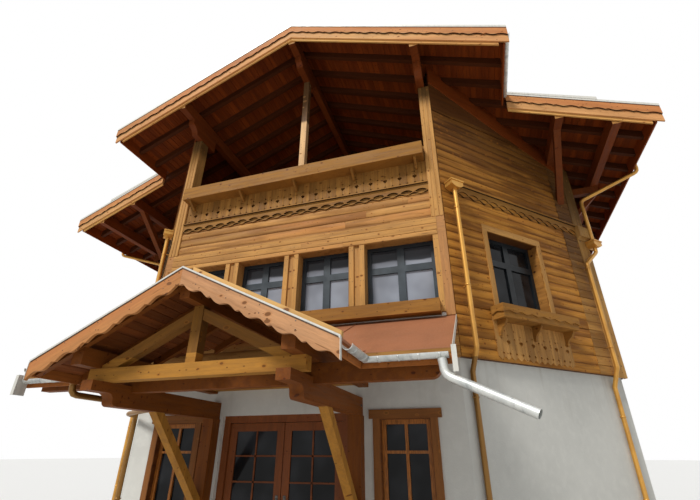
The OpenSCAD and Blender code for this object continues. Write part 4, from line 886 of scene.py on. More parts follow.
def clad(stock, spot, ends, z0, z1, holes, settings, furthest=99.0):
    """Courses of horizontal boards up a wall, cut round openings and to the roof."""
    pitch = settings.siding_pitch
    for row in range(math.ceil((z1 - z0) / pitch)):
        low, high = z0 + row * pitch, min(z0 + (row + 1) * pitch, z1)
        row_tone = stock.random.random()
        breaks = sorted({low, high, *(z for hole in holes for z in hole[2:] if low < z < high)})
        whole = len(breaks) == 2 and high - low > 0.9 * pitch
        for a, b in zip(breaks, breaks[1:]):
            if b - a < 0.008:
                continue
            left, right = ends(a)
            profile = (board_profile if whole else strip_profile)(b - a, settings.siding_proud)
            for s, stop in free_runs(max(left, 0.0), min(right, furthest), a, b, holes):
                length = stock.random.uniform(0.3, 1.0) * settings.board_length
                while s < stop - 0.001:
                    end = min(stop, s + length)
                    if stop - end < 0.4:
                        end = stop
                    tone = 0.5 * row_tone + 0.5 * stock.random.random()
                    stock.plank(spot, s, end - BUTT_GAP, a, profile, ends, tone)
                    s = end
                    length = stock.random.uniform(0.6, 1.0) * settings.board_length


def plain_holes(centres, low=WINDOW_SILL, high=WINDOW_HEAD):
    return [(c - PLAIN_W / 2, c + PLAIN_W / 2, low, high) for c in centres]


FRONT_HOLES = [(HALF_FRONT - HEADER_HALF, HALF_FRONT + HEADER_HALF, 3.50, 5.15)]
CANT_HOLES = [(0.87, 2.06, 3.76, 5.09)]
SIDE_HOLES = plain_holes((0.30 * SIDE_LEN, 0.72 * SIDE_LEN))
BACK_HOLES = (plain_holes([2 * HALF_BODY * f for f in (0.2, 0.5, 0.8)])
              + plain_holes([2 * HALF_BODY * f for f in (0.38, 0.62)], 6.50, 7.60))


def make_materials(c):
    """Makes every finish once."""
    brown, pale = linear(126, 76, 36), linear(222, 176, 100)
    # Painted shade of the eaves on the tops of the corner and front posts, and of their strips
    shaded_posts = (painted_eave_shade(7.50, 7.85), linear(84, 58, 26), 0.85)
    plaster("plaster", c.plaster)
    plaster("concrete", shade(c.plaster, 0.6))
    timber("floor_boards", c.siding, "x", 0.3, streaks=0.5)
    timber("front_wall_timber", shade(c.front, 0.85), spread=0.3, streaks=0.5,
           exceptions=[(height_between(3.575, 4.835), "upright")])
    # Dark brown stands in for the shade on the wall above the slanting walls' siding; the reveals
    # keep a wood tone
    timber("wall_timber", linear(90, 52, 18), spread=0.3, streaks=0.5,
           tones=[(window_reveals, linear(168, 116, 54), 0.9)])
    timber("front_boards", c.front, "stock", 0.55, 0.9, 0.65, 0.6)
    # The wall boards grow darker up the walls: painted shade of the eaves
    timber("wall_boards", c.siding, "stock", 0.45, 0.9, 0.8, 0.25, soot_and_shade=0.75,
           tones=[(painted_eave_shade(5.3, 7.5), linear(74, 38, 8), 0.75)])
    # The loggia's boards and wall are the siding colour at half brightness: painted shade of the
    # recess
    timber("loggia_boards", shade(c.siding, 0.5), "stock", 0.4, 0.6, 0.5)
    timber("loggia_wall_timber", shade(c.siding, 0.5), spread=0.3, streaks=0.5)
    timber("post_timber", c.posts, "upright", streaks=0.35,
           exceptions=[(height_between(4.832, 5.149), "level")],
           tones=[(lower_corner_board, linear(170, 120, 76), 0.8), shaded_posts])
    # Lighter colour: painted sunlight on the centre post; its dark top is a painted shadow line of
    # the roof
    timber("centre_post_sunlit_timber", linear(228, 184, 132), "upright", streaks=0.35,
           tones=[(painted_eave_shade(7.97, 8.05), linear(76, 46, 16), 0.92)])
    # Painted shade of the eaves darkens the far corner boards upwards
    timber("far_corner_timber", linear(200, 152, 86), "upright", streaks=0.45,
           tones=[(painted_eave_shade(4.0, 4.8), linear(146, 110, 58), 0.7),
                  (painted_eave_shade(5.6, 6.3), linear(96, 66, 30), 0.8)])
    timber("header_board_timber", c.posts, "stock", 0.35, 1.0, 0.3, 0.35, soot_and_shade=0.45)
    timber("post_strip_timber", c.posts, "stock", streaks=0.35, soot_and_shade=0.3,
           tones=[shaded_posts])
    timber("lining_timber", brown, "stock", 0.3, 0.8, 0.3)
    # Painted shade of the eaves darkens the corner blocks upwards
    timber("corner_block_timber", linear(182, 134, 70), "stock", 0.5, 0.9, 0.6,
           tones=[(painted_eave_shade(3.8, 6.0), linear(92, 56, 20), 0.85)])
    timber("parapet_timber", c.parapet, "upright", 0.5, 1.0, 0.5,
           exceptions=[(height_between(PARAPET_TOP, 6.64), "level")],
           board_lines=(across_front, 0.13, -2.34))
    # The trim's cut edges are darkened: painted shadow lines of the scallops
    timber("trim_timber", shade(c.parapet, 0.95), "level", 0.3, 0.8, 0.5,
           tones=[(shadow_painted_edges, linear(44, 26, 12), 0.95)])
    timber("box_timber", c.boxes)
    timber("surround_timber", shade(c.posts, 0.85), "upright", streaks=0.35,
           exceptions=[(height_between(2.190, 2.32), "level"),
                       (height_between(5.06, 5.4), "level")],
           tones=[(height_between(0.0, GROUND_H), brown, 0.9)])
    timber("apron_timber", shade(c.posts, 0.95), "upright", 0.5, 1.0, 0.5,
           board_lines=(cant_run, 0.13, 0.79))
    # The beams' ends are lighter: partly end grain, partly painted sunlight on them
    timber("beam_timber", c.beams, "y",
           tones=[(end_faces, linear(206, 154, 86), 0.75)])
    timber("bolster_timber", c.beams, "y")
    # The rafters are darker than the soffit boards: partly their own tone, partly painted shade on
    # their sides
    timber("rafter_timber", linear(74, 34, 8), "roof slope", 0.4, 0.8, 0.4)
    timber("strut_timber", linear(110, 54, 15), "upright", 0.4, 0.8, 0.3)
    timber("soffit_timber", c.soffit, "y", 0.3, 0.8, 0.3)
    timber("soffit_board_timber", c.soffit, "stock", 0.55, 0.8, 0.35, 0.4)
    timber("porch_soffit_timber", linear(128, 70, 28), "stock", 0.5, 1.0, 0.3, 0.4)
    timber("barge_timber", c.barge, "roof slope", 0.4, 0.8, 0.3, 0.4,
           tones=[(depth_between(0.19, 0.342), linear(224, 178, 118), 0.6),
                  (depth_between(0.342, 0.42), pale, 0.8),
                  # A dark band just under the drip edge: painted shadow of the lip
                  (depth_between(-0.05, 0.046), linear(60, 34, 20), 0.9),
                  # The upper board's scalloped edge darkened: a painted shadow line
                  (scallop_shadow_line, linear(40, 22, 10), 0.95)])
    timber("porch_barge_timber", linear(194, 144, 102), "porch slope", 0.4, 1.3, 0.35, 0.4,
           tones=[(left_half, linear(188, 126, 68), 0.75),
                  (porch_batten, linear(216, 172, 106), 0.9)])
    timber("porch_board_timber", linear(128, 70, 30), "y", 0.3, 0.8, 0.3,
           tones=[(height_between(2.49, 2.605), linear(164, 98, 42), 0.8)])
    # The principals and the king post are darker: painted shade
    timber("brace_timber", c.braces, "x", streaks=0.3,
           exceptions=[(king_post, "upright"), (principals, "porch slope")],
           tones=[(principals, linear(118, 78, 34), 0.75), (king_post, linear(124, 84, 32), 0.85)])
    timber("knee_brace_timber", c.braces, "upright", streaks=0.3)
    timber("porch_timber", c.porch, "y")
    timber("porch_post_timber", c.porch, "upright")
    timber("door_timber", c.door, "upright", 0.3, 0.5, 0.3, gloss=0.42)
    timber("door_board_timber", shade(c.door, 1.25), "stock", 0.4, 0.5, 0.3, gloss=0.42)
    coated_sheet("sheet_metal", c.sheet)
    clay_tiles("tile_bedding", shade(c.tiles, 0.7))
    clay_tiles("clay_tiles", c.tiles)
    metal("zinc", c.zinc, linear(150, 156, 158), 0.55, 0.34, 0.52)
    metal("drip_metal", c.drip, linear(196, 196, 190), 0.15, 0.35, 0.5, 0.5,
          lines=[(flashing_shadow_line, linear(70, 50, 36))])
    metal("copper", c.copper, linear(176, 126, 60), 0.55, 0.28, 0.46, 0.7, 2.6,
          lines=[(corner_pipe_foot, linear(112, 78, 34))])
    frame_paint("frame_paint", c.frames, linear(176, 108, 44))
    pane("glass", c.glass)
    soil("soil", c.soil)
    iron("iron")


NODE_FINISHES = {
    "plaster": ("ground_front_wall", "ground_wall_over_door", "ground_cant_walls",
                "ground_side_walls", "ground_back_wall"),
    "concrete": ("ground_slab",),
    "floor_boards": ("upper_floor", "attic_floor"),
    "front_wall_timber": ("upper_front_wall",),
    "wall_timber": ("upper_cant_walls", "upper_side_walls", "upper_back_wall"),
    "loggia_wall_timber": ("loggia_wall",),
    "post_timber": ("corner_posts", "front_posts"),
    "centre_post_sunlit_timber": ("centre_post",),
    "far_corner_timber": ("far_corner_boards",),
    "parapet_timber": ("balcony_parapet",),
    "trim_timber": ("scalloped_trim",),
    "box_timber": ("flower_boxes",),
    "surround_timber": ("window_surrounds",),
    "apron_timber": ("carved_aprons",),
    "beam_timber": ("purlins",),
    "bolster_timber": ("purlin_bolsters",),
    "strut_timber": ("purlin_struts",),
    "rafter_timber": ("rafters",),
    "soffit_timber": ("roof_boards", "eave_boards"),
    "porch_board_timber": ("porch_roof_boards",),
    "tile_bedding": ("roof_sheet",),
    "sheet_metal": ("ridge_cap", "porch_roof_sheet"),
    "barge_timber": ("bargeboards",),
    "porch_barge_timber": ("porch_bargeboards",),
    "drip_metal": ("verge_flashings",),
    "zinc": ("roof_gutters", "porch_gutters", "spout_pipe"),
    "copper": ("downpipes", "eave_pipes"),
    "porch_timber": ("porch_side_beams", "porch_purlins", "porch_rafters"),
    "porch_post_timber": ("porch_posts",),
    "brace_timber": ("porch_truss",),
    "knee_brace_timber": ("porch_braces",),
    "door_timber": ("door_frame", "door_leaf_left", "door_leaf_right", "loggia_door"),
    "glass": ("door_glass_left", "door_glass_right", "window_glass"),
    "frame_paint": ("window_frames",),
    "soil": ("planting_soil",),
}


# OPERATORS

class ChaletOperator:
    """Common settings of the chalet's operators."""
    bl_options = {"REGISTER", "UNDO"}


class CHALET_OT_finishes(ChaletOperator, bpy.types.Operator):
    """Give every solid its procedural finish"""
    bl_idname = "chalet.finishes"
    bl_label = "Finishes"

    def execute(self, context):
        make_materials(context.scene.chalet_colours)
        for finish, nodes in NODE_FINISHES.items():
            for node in nodes:
                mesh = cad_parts[node].data
                if not mesh.materials:
                    mesh.materials.append(MATERIALS[finish])
                for i in range(len(mesh.materials)):
                    mesh.materials[i] = MATERIALS[finish]
        return {"FINISHED"}


class CHALET_OT_siding(ChaletOperator, bpy.types.Operator):
    """Lay the horizontal wall boards, the header boards, post strips and window linings"""
    bl_idname = "chalet.siding"
    bl_label = "Siding"

    def execute(self, context):
        settings = context.scene.chalet_boards
        front = Stock(11)
        clad(front, wall_spot("front"), wall_ends("front"), GROUND_H, ATTIC_H,
             FRONT_HOLES, settings)
        front.build("siding_front", "front_boards")
        self.header_boards(settings.board_length)
        self.window_linings()
        self.post_strips()
        for name, left in (("right", False), ("left", True)):
            stock = Stock(12 + left)
            clad(stock, wall_spot("cant", left), cant_siding_ends, GROUND_H, CANT_SIDING_TOP,
                 CANT_HOLES, settings, BLOCKS_END)
            clad(stock, wall_spot("side", left), wall_ends("side"), GROUND_H, rafter_z(HALF_BODY),
                 SIDE_HOLES, settings, SIDE_LEN)
            stock.build("siding_" + name, "wall_boards")
        back = Stock(14)
        clad(back, wall_spot("back"), wall_ends("back"), GROUND_H, rafter_z(0) - 0.05,
             BACK_HOLES, settings)
        back.build("siding_back", "wall_boards")
        self.loggia_boards(settings)
        return {"FINISHED"}

    def loggia_boards(self, settings):
        """Boards on the wall at the back of the balcony."""
        def ends(z):
            half = min(rafter_reach(z), HALF_BODY - 0.24)
            return HALF_FRONT - half, HALF_FRONT + half

        stock = Stock(15)
        door = (HALF_FRONT - 0.85, HALF_FRONT + 0.85, ATTIC_H, ATTIC_H + 2.052)
        clad(stock, facing(-HALF_FRONT, LOGGIA_D), ends, ATTIC_H, rafter_z(0) - 0.3,
             [door], settings)
        stock.build("siding_loggia", "loggia_boards")

    def header_boards(self, longest):
        """Two wide boards over a narrow strip, laid on the header above the window row."""
        stock = Stock(16)
        spot = facing(-HEADER_HALF, POST_FACE)
        for low, high, tone in ((4.832, 4.912, 0.95), (4.912, 5.034, 0.75), (5.034, 5.148, 0.85)):
            width = high - low
            profile = [(0.001, 0.0), (0.001, 0.005), (0.006, 0.009), (width - 0.016, 0.009),
                       (width - 0.003, 0.004), (width - 0.002, 0.0)]
            for s, end in stock.lengths(0.0, 2 * HEADER_HALF, 0.55 * longest, longest):
                worn = tone - 0.2 * stock.random.random()
                stock.plank(spot, s, end - BUTT_GAP, low, profile, tone=worn)
        stock.build("header_boards", "header_board_timber")

    def post_strips(self):
        """Three upright strips laid on the front of each corner post, with grooves between."""
        stock = Stock(18)
        foot, top = 5.155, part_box("corner_posts")[1][2]
        for side in (-1, 1):
            for a, b, tone in ((2.424, 2.478, 0.8), (2.486, 2.552, 0.45), (2.560, 2.617, 0.7)):
                upright = Spot((side * a, POST_FACE, foot), UP, (side, 0, 0), (0, -1, 0))
                stock.block(upright, (0, 0, 0), (top - foot - 0.003, b - a, 0.008), tone, 0.004)
        stock.build("post_strips", "post_strip_timber")

    def window_linings(self):
        """Boards that line the plastered reveals of the two ground windows in the front."""
        stock = Stock(17)
        x0, x1, z0, z1 = GROUND_WINDOW
        thick = 0.010
        boards = ((x0, x0 + thick, z0, z1), (x1 - thick, x1, z0, z1),
                  (x0 + thick, x1 - thick, z1 - thick, z1),
                  (x0 + thick, x1 - thick, z0, z0 + thick))
        for side in (-1, 1):
            reveal = facing(0, 0.070, 0, side, 1)
            for a, b, low, high in boards:
                stock.block(reveal, (a, low, -0.028), (b, high, 0.060), 0.3)
        stock.build("window_linings", "lining_timber")


class CHALET_OT_corner_blocks(ChaletOperator, bpy.types.Operator):
    """Stack the short blocks at the far corners, trim the back corners and close the rafters"""
    bl_idname = "chalet.corner_blocks"
    bl_label = "Corner blocks"

    def execute(self, context):
        stock = Stock(21)
        for left in (False, True):
            self.blocks(stock, left, context.scene.chalet_boards.siding_pitch)
            self.trims(stock, left)
        stock.build("corner_blocks", "corner_block_timber")
        self.rafter_blocking()
        return {"FINISHED"}

    def blocks(self, stock, left, pitch):
        """A stack of short blocks, open where the scalloped trim runs past."""
        profile = [(0.002, 0.0), (0.002, 0.016), (0.008, 0.022), (pitch - 0.010, 0.022),
                   (pitch - 0.003, 0.015), (pitch - 0.003, 0.0)]
        spot = wall_spot("cant", left)
        for row in range(int((rafter_z(HALF_BODY - 0.3) - GROUND_H) / pitch) + 1):
            z = GROUND_H + row * pitch
            if not TRIM_TOP - 0.21 < z + pitch / 2 < TRIM_TOP + 0.02:
                start = BLOCKS_START + stock.random.uniform(-0.006, 0.006)
                stock.plank(spot, start, BLOCKS_END, z, profile, wall_ends("cant"))

    def trims(self, stock, left):
        """Upright boards at the corners of the side and back walls."""
        thick = 0.022
        for wall, s0, s1 in (("side", 0.0, TRIM_W), ("side", SIDE_LEN - TRIM_W, SIDE_LEN + thick),
                             ("back", 0.0, TRIM_W)):
            edge = wall_spot(wall, left)
            tall = Spot(edge.at(s0, GROUND_H - 0.01, 0), UP, edge.u, edge.n)
            corner = (rafter_z(HALF_BODY) - GROUND_H, s1 - s0, thick)
            stock.block(tall, (0, 0, 0), corner, chamfer=0.003)

    def rafter_blocking(self):
        """Dark panels below the rafters of the slanting walls, which paint the band of shade under
        the rafters, and boards between the rafters.
        """
        stock = Stock(22)
        high, fall = rafter_z(HALF_FRONT), ROOF_K * BLOCKS_END * DIAGONAL
        low = high - 0.33
        panel = [(0.0, low), (BLOCKS_END, low - fall), (BLOCKS_END, high - fall), (0.0, high)]
        for left in (False, True):
            # The dark panel stands in for the band of shade under the rafters: painted shade
            stock.plate(wall_spot("cant", left), panel, 0.0, 0.026, 0.2)
            for wall, x, length in (("cant", HALF_FRONT, CANT_LEN), ("side", HALF_BODY, SIDE_LEN)):
                self.infill(stock, wall_spot(wall, left), (0.0, x), (length, HALF_BODY))
        for s in (0.0, 2 * HALF_BODY):
            self.infill(stock, wall_spot("back"), (s, HALF_BODY), (HALF_BODY, 0.0))
        stock.build("rafter_blocking", "soffit_board_timber")

    def infill(self, stock, spot, start, stop):
        """A board from the rafters' underside up to the roof boards, between two (s, x)."""
        outline = [(s, rafter_z(x)) for s, x in (start, stop)]
        outline += [(s, roof_z(x) - SKIN_V) for s, x in (stop, start)]
        stock.plate(spot, outline, -0.03, 0.0, 0.3)


class CHALET_OT_soffits(ChaletOperator, bpy.types.Operator):
    """Line the undersides of the roofs with boards"""
    bl_idname = "chalet.soffits"
    bl_label = "Soffits"

    def execute(self, context):
        pitch = context.scene.chalet_boards.soffit_pitch
        profile = [(0.001, 0.0), (0.001, 0.003), (0.007, 0.008), (pitch - 0.008, 0.008),
                   (pitch - 0.002, 0.003), (pitch - 0.002, 0.0)]
        self.main_roof(pitch, profile)
        self.porch_roof(pitch, profile)
        return {"FINISHED"}

    def main_roof(self, pitch, profile):
        """Boards from front to back, which start further back below the stepped verge."""
        stock = Stock(31)
        upper_end = (UPPER_HALF - RAFTER_BACK) / math.cos(ROOF_ANGLE)
        lower_end = (EAVE_HALF - RAFTER_BACK) / math.cos(ROOF_ANGLE)
        for side in (-1, 1):
            down, out = slope_ways((side, 0, 0), ROOF_K)
            spot = Spot((0, 0, RIDGE_H - SKIN_V), (0, 1, 0), down, -out)
            for v in spaced(FIRST_ROW, lower_end - pitch, pitch):
                start = VERGE_Y if v + pitch < upper_end + 0.03 else STEP_Y
                for s, end in stock.lengths(start, BACK_Y, 2.0, 4.5):
                    stock.plank(spot, s, end - BUTT_GAP, v, profile)
        stock.build("soffit_boards", "soffit_board_timber")

    def porch_roof(self, pitch, profile):
        """Boards of the porch from front to back, and of the pent roof from side to side."""
        stock = Stock(32)
        origin, spare = (0, 0, PORCH_TOP - PORCH_SKIN), 0.025
        for side in (-1, 1):
            down, out = slope_ways((side, 0, 0), PORCH_K)
            spot, cosine = Spot(origin, (0, 1, 0), down, -out), slope_cosine(PORCH_K)
            for v in spaced(FIRST_ROW, (PORCH_HALF - spare) / cosine - pitch, pitch):
                valley = -PENT_D / PORCH_HALF * (v + pitch / 2) * cosine
                stock.plank(spot, PORCH_FRONT, valley - 0.01, v, profile)
            down, out = slope_ways((0, -1, 0), PENT_K)
            spot, cosine = Spot(origin, (side, 0, 0), down, -out), slope_cosine(PENT_K)
            for v in spaced(FIRST_ROW, (PENT_D - spare) / cosine - pitch, pitch):
                valley = PORCH_HALF / PENT_D * (v + pitch / 2) * cosine
                stock.plank(spot, valley + 0.01, HALF_FRONT - 0.002, v, profile)
        stock.build("porch_soffit_boards", "porch_soffit_timber")


class CHALET_OT_roof_tiles(ChaletOperator, bpy.types.Operator):
    """Cover both slopes with courses of clay tiles"""
    bl_idname = "chalet.roof_tiles"
    bl_label = "Roof tiles"

    def execute(self, context):
        settings = context.scene.chalet_roof
        stock = Stock(41)
        top = 0.166 / math.cos(ROOF_ANGLE)
        gap, lap = 0.004, 0.03
        for side in (-1, 1):
            spot = Spot((0, 0, RIDGE_H), (0, 1, 0), *slope_ways((side, 0, 0), ROOF_K))
            for half, start, stop in ((EAVE_HALF, STEP_Y, BACK_Y - gap),
                                      (UPPER_HALF, VERGE_Y, STEP_Y + gap)):
                end = half / math.cos(ROOF_ANGLE)
                for row in range(math.ceil((end - top) / settings.tile_course)):
                    butt = end - row * settings.tile_course
                    head = max(top, butt - settings.tile_course - lap)
                    self.course(stock, spot, (head, butt), start + gap, stop,
                                settings.tile_width, row)
        stock.build("roof_tiles", "clay_tiles")
        return {"FINISHED"}

    def course(self, stock, spot, head_and_butt, start, stop, width, row):
        """One row of tiles, each with a rib at one edge and a thick butt."""
        for s in spaced(start - (width / 2 if row % 2 else 0.0), stop - 0.002, width):
            a, b = max(s, start), min(s + width - 0.003, stop)
            if b - a > 0.02:
                columns = [(a, 0.006), (a + 0.010, 0.009), (a + 0.022, 0.003),
                           (b - 0.012, 0.002), (b, 0.004)]
                points = []
                for v, low, lift in zip(head_and_butt, (0.0005, 0.0030), (0.003, 0.0095)):
                    points += [spot.at(y, v, lift + h) for y, h in columns]
                    points += [spot.at(y, v, low) for y, h in reversed(columns)]
                stock.shell(points, prism_faces(2 * len(columns)), stock.random.random())


class CHALET_OT_porch_seams(ChaletOperator, bpy.types.Operator):
    """Fold low seams and valleys into the sheet of the porch and pent roofs"""
    bl_idname = "chalet.porch_seams"
    bl_label = "Porch seams"

    def execute(self, context):
        gap = context.scene.chalet_roof.seam_gap
        stock = Stock(51)
        for side in (-1, 1):
            self.seams(stock, side, gap)
            self.valley(stock, side)
        stock.build("porch_seams", "sheet_metal")
        strip = Stock(52)
        start = 1.80
        for side in (-1, 1):
            spot = facing(side * start, -PENT_D, 2.598, side)
            strip.block(spot, (0, 0, 0), (HALF_FRONT - start, 0.045, 0.004), 0.6)
        strip.build("pent_edge_strips", "corner_block_timber")
        return {"FINISHED"}

    def seams(self, stock, side, gap):
        """Folds down the porch's slope and the pent roof's."""
        profile = [(-0.012, 0.0), (-0.004, 0.003), (-0.004, 0.012), (0.004, 0.012), (0.004, 0.003),
                   (0.012, 0.0)]
        down, out = slope_ways((side, 0, 0), PORCH_K)
        for y in spaced(PORCH_FRONT + gap, -0.2, gap):
            end = min(PORCH_HALF, -y * PORCH_HALF / PENT_D) / slope_cosine(PORCH_K)
            spot = Spot((0, y, PORCH_TOP), down, (0, 1, 0), out)
            stock.plank(spot, 0.105, end - 0.01, 0.0, profile, tone=PLAIN_TONE)
        down, out = slope_ways((0, -1, 0), PENT_K)
        for x in (0.55, 0.55 + gap):
            start, end = (run / slope_cosine(PENT_K)
                          for run in (0.02, min(PENT_D, x * PENT_D / PORCH_HALF)))
            spot = Spot((side * x, 0, PORCH_TOP), down, (1, 0, 0), out)
            stock.plank(spot, start, end - 0.01, 0.0, profile, tone=PLAIN_TONE)

    def valley(self, stock, side):
        """The folded valley between the porch and the pent roof."""
        profile = [(-0.05, 0.022), (-0.046, 0.026), (0.0, 0.004), (0.046, 0.026), (0.05, 0.022),
                   (0.0, 0.0)]
        start = Vector((0, 0, PORCH_TOP))
        line = Vector((side * PORCH_HALF, -PENT_D, PORCH_EAVE)) - start
        along = line.normalized()
        across = along.cross(UP).normalized()
        spot = Spot(start, along, across, across.cross(along))
        stock.plank(spot, 0.12, line.length - 0.02, 0.0, profile, tone=PLAIN_TONE)


class CHALET_OT_rainwater_fixings(ChaletOperator, bpy.types.Operator):
    """Hang the gutters on straps and hold the downpipes with rings"""
    bl_idname = "chalet.rainwater_fixings"
    bl_label = "Rainwater fixings"

    def execute(self, context):
        self.gutter_straps()
        self.pipe_rings()
        return {"FINISHED"}

    def gutter_straps(self):
        stock = Stock(61)
        thick, out = 0.003, 0.025 - RAFTER_BACK + GUTTER_R
        for side in (-1, 1):
            for x, y0, y1 in ((UPPER_HALF + out, VERGE_Y, 0.65), (EAVE_HALF + out, STEP_Y, BACK_Y)):
                z = roof_z(x) - SHEET_V - 0.010
                count = max(2, round((y1 - y0) / 0.72))
                for i in range(count):
                    y = y0 + (i + 0.5) * (y1 - y0) / count
                    spot = facing(side * x, y, z, side, 1)
                    stock.strap(spot, GUTTER_R, thick, 0.012, -180, -22)
                    flat = Spot((side * (x - GUTTER_R), y - 0.012, z), UP, (0, 1, 0), (side, 0, 0))
                    stock.block(flat, (-0.01, 0, 0), (0.035, 0.024, thick), PLAIN_TONE)
        radius, z = 0.050, 2.59
        for side in (-1, 1):
            spots = [facing(side * 1.807, -2.36 + 0.32 * i, z, side, 1) for i in range(2)]
            spots += [Spot((side * (1.94 + 0.19 * i), -1.915, z), (0, -1, 0), UP, (1, 0, 0))
                      for i in range(4)]
            for spot in spots:
                stock.strap(spot, radius, thick, 0.010, -180, -8)
        stock.build("gutter_straps", "zinc")

    def pipe_rings(self):
        """Rings, stems and ears at the near and far pipe of each slanting wall."""
        stock = Stock(62)
        near, far = 0.190, BLOCKS_END - PIPE_R - 0.025
        plaster_n, on_plaster = -0.07, -0.019
        rings = [(s, out, z, wall) for s, out, wall, heights in (
            (near, 0.117, 0.0, (5.30, 3.97)), (near, on_plaster, plaster_n, (2.43, 1.15)),
            (far, 0.110, 0.0, (4.88, 3.40)), (far, on_plaster, plaster_n, (2.30, 1.15)),
        ) for z in heights]
        for left in (False, True):
            spot = wall_spot("cant", left)
            for s, out, z, wall in rings:
                ring = Spot(spot.at(s, z, out), spot.u, spot.n, UP)
                stock.strap(ring, PIPE_R, 0.004, 0.014, 0, 360, 20)
                stem = Spot(spot.at(s, z, wall), spot.u, UP, spot.n)
                reach = out - wall - PIPE_R
                if reach > 0.01:
                    corner = (0.006, 0.006, reach + 0.002)
                    stock.block(stem, (-0.006, -0.006, 0), corner, PLAIN_TONE)
                for ear in (-1, 1):
                    bolt = Spot(spot.at(s + ear * (PIPE_R + 0.010), z, out), spot.u, UP, spot.n)
                    stock.block(bolt, (-0.009, -0.012, -0.005), (0.009, 0.012, 0.005), PLAIN_TONE)
        stock.build("pipe_rings", "copper")


LEAF_Y = 0.165
LEAF_BACK = 0.215
LIGHT_X = (0.115, 0.784)
LIGHT_Z = (1.080, 2.064)
PANEL_Z = (0.238, 0.970)
HALF_BAR = 0.011


class CHALET_OT_door_fittings(ChaletOperator, bpy.types.Operator):
    """Fit glazing bars, panel boards and handles to both entrance leaves"""
    bl_idname = "chalet.door_fittings"
    bl_label = "Door fittings"

    def execute(self, context):
        for name, side in (("right", 1), ("left", -1)):
            self.boards(name, side)
            self.handles(name, side)
        return {"FINISHED"}

    def boards(self, name, side):
        """Glazing bars on both faces of the glass, and upright boards on the panel."""
        stock = Stock(71)
        middle, (x0, x1), (z0, z1) = sum(LIGHT_X) / 2, LIGHT_X, LIGHT_Z
        for front, back in ((LEAF_Y + 0.004, 0.184), (0.196, LEAF_BACK - 0.004)):
            spot = facing(0, front, 0, side, 1)
            bars = [((middle - HALF_BAR, z0), (middle + HALF_BAR, z1))]
            for z in (z0 + (z1 - z0) * part / 3 for part in (1, 2)):
                bars.append(((x0, z - HALF_BAR), (x1, z + HALF_BAR)))
            for low, high in bars:
                stock.block(spot, (*low, 0), (*high, back - front), PLAIN_TONE)
        boards = 6
        pitch = (x1 - x0) / boards
        for i in range(boards):
            foot = (side * (x0 + i * pitch), LEAF_Y + 0.014, PANEL_Z[0])
            top = (PANEL_Z[1] - PANEL_Z[0], pitch - 0.001, 0.010)
            stock.block(Spot(foot, UP, (side, 0, 0), (0, -1, 0)), (0, 0.001, 0), top, chamfer=0.004)
        stock.build("door_boards_" + name, "door_board_timber", "leaf_" + name)

    def handles(self, name, side):
        """A plate with a keyhole rose and a lever or a knob on both faces."""
        stock = Stock(72)
        x, z = 0.060, 1.14
        lever_z = z + 0.03
        for face, out in ((LEAF_Y, -1), (LEAF_BACK, 1)):
            plate, neck, key = (facing(side * x, face, height, side, out)
                                for height in (z, lever_z, z - 0.06))
            stock.block(plate, (-0.020, -0.115, 0), (0.020, 0.115, 0.005), PLAIN_TONE, 0.002)
            stock.turned(neck, [(0, 0.0), (0.016, 0.004), (0.016, 0.010), (0.010, 0.014),
                                (0.009, 0.045), (0, 0.046)])
            if side > 0:
                lever = ((0.0, 0.040, 0.0), (0.03, 0.046, 0.0), (0.08, 0.046, 0.001),
                         (0.12, 0.042, -0.002))
                stock.tube([(x + a, face + out * b, lever_z + c) for a, b, c in lever], 0.008)
            else:
                stock.turned(neck, [(0, 0.036), (0.020, 0.042), (0.026, 0.052), (0.020, 0.062),
                                    (0, 0.066)])
            stock.turned(key, [(0, 0.005), (0.009, 0.005), (0.008, 0.008), (0, 0.008)])
        stock.build("door_handles_" + name, "iron", "leaf_" + name)


NAIL = [(0, 0.0), (0.006, 0.0005), (0.0045, 0.0025), (0, 0.003)]
WALL_NAIL = [(0, 0.0), (0.011, 0.0005), (0.009, 0.003), (0, 0.004)]
BOLT = [(0, 0.0), (0.024, 0.001), (0.024, 0.004), (0.013, 0.005), (0.012, 0.013), (0.004, 0.016),
        (0, 0.016)]


class CHALET_OT_fasteners(ChaletOperator, bpy.types.Operator):
    """Put bolts into the porch frame and nails into the bargeboards and laid on boards"""
    bl_idname = "chalet.fasteners"
    bl_label = "Fasteners"

    def execute(self, context):
        stock = Stock(81)
        main_rows, porch_rows = (0.05, 0.14), (0.035, 0.115)
        verges = (
            (0.25, UPPER_HALF, 0.485, -0.825, roof_z, main_rows),
            (UPPER_HALF + 0.2, EAVE_HALF, 0.485, 0.65, roof_z, main_rows),
            (0.2, PORCH_HALF, 0.38, -2.525, porch_z, porch_rows),
        )
        for side in (-1, 1):
            for first, last, gap, y, height, rows in verges:
                for x in spaced(first, last - 0.05, gap):
                    for d in rows:
                        stock.turned(facing(side * x, y, height(x) - d), NAIL, 8)
            beam = Spot((side * 1.215, -0.02, 2.36), (0, 1, 0), UP, (side, 0, 0))
            stock.turned(beam, BOLT, 6)
        for x0 in (-2.455, -1.257, -1.076, -0.091, 0.091, 1.076, 1.257, 2.455):
            for z in (3.66, 4.2, 4.75):
                for dx in (-0.02, 0.02):
                    stock.turned(facing(x0 + dx, POST_FACE, z), NAIL, 6)
        for left in (False, True):
            board = wall_spot("cant", left)
            for i in range(7):
                for s in (CANT_LEN - 0.22, CANT_LEN - 0.08):
                    spot = Spot(board.at(s, 3.12 + 0.40 * i, 0.030), board.u, UP, board.n)
                    stock.turned(spot, WALL_NAIL, 8)
        stock.build("fasteners", "iron")
        return {"FINISHED"}


BOX_WALL = 0.020


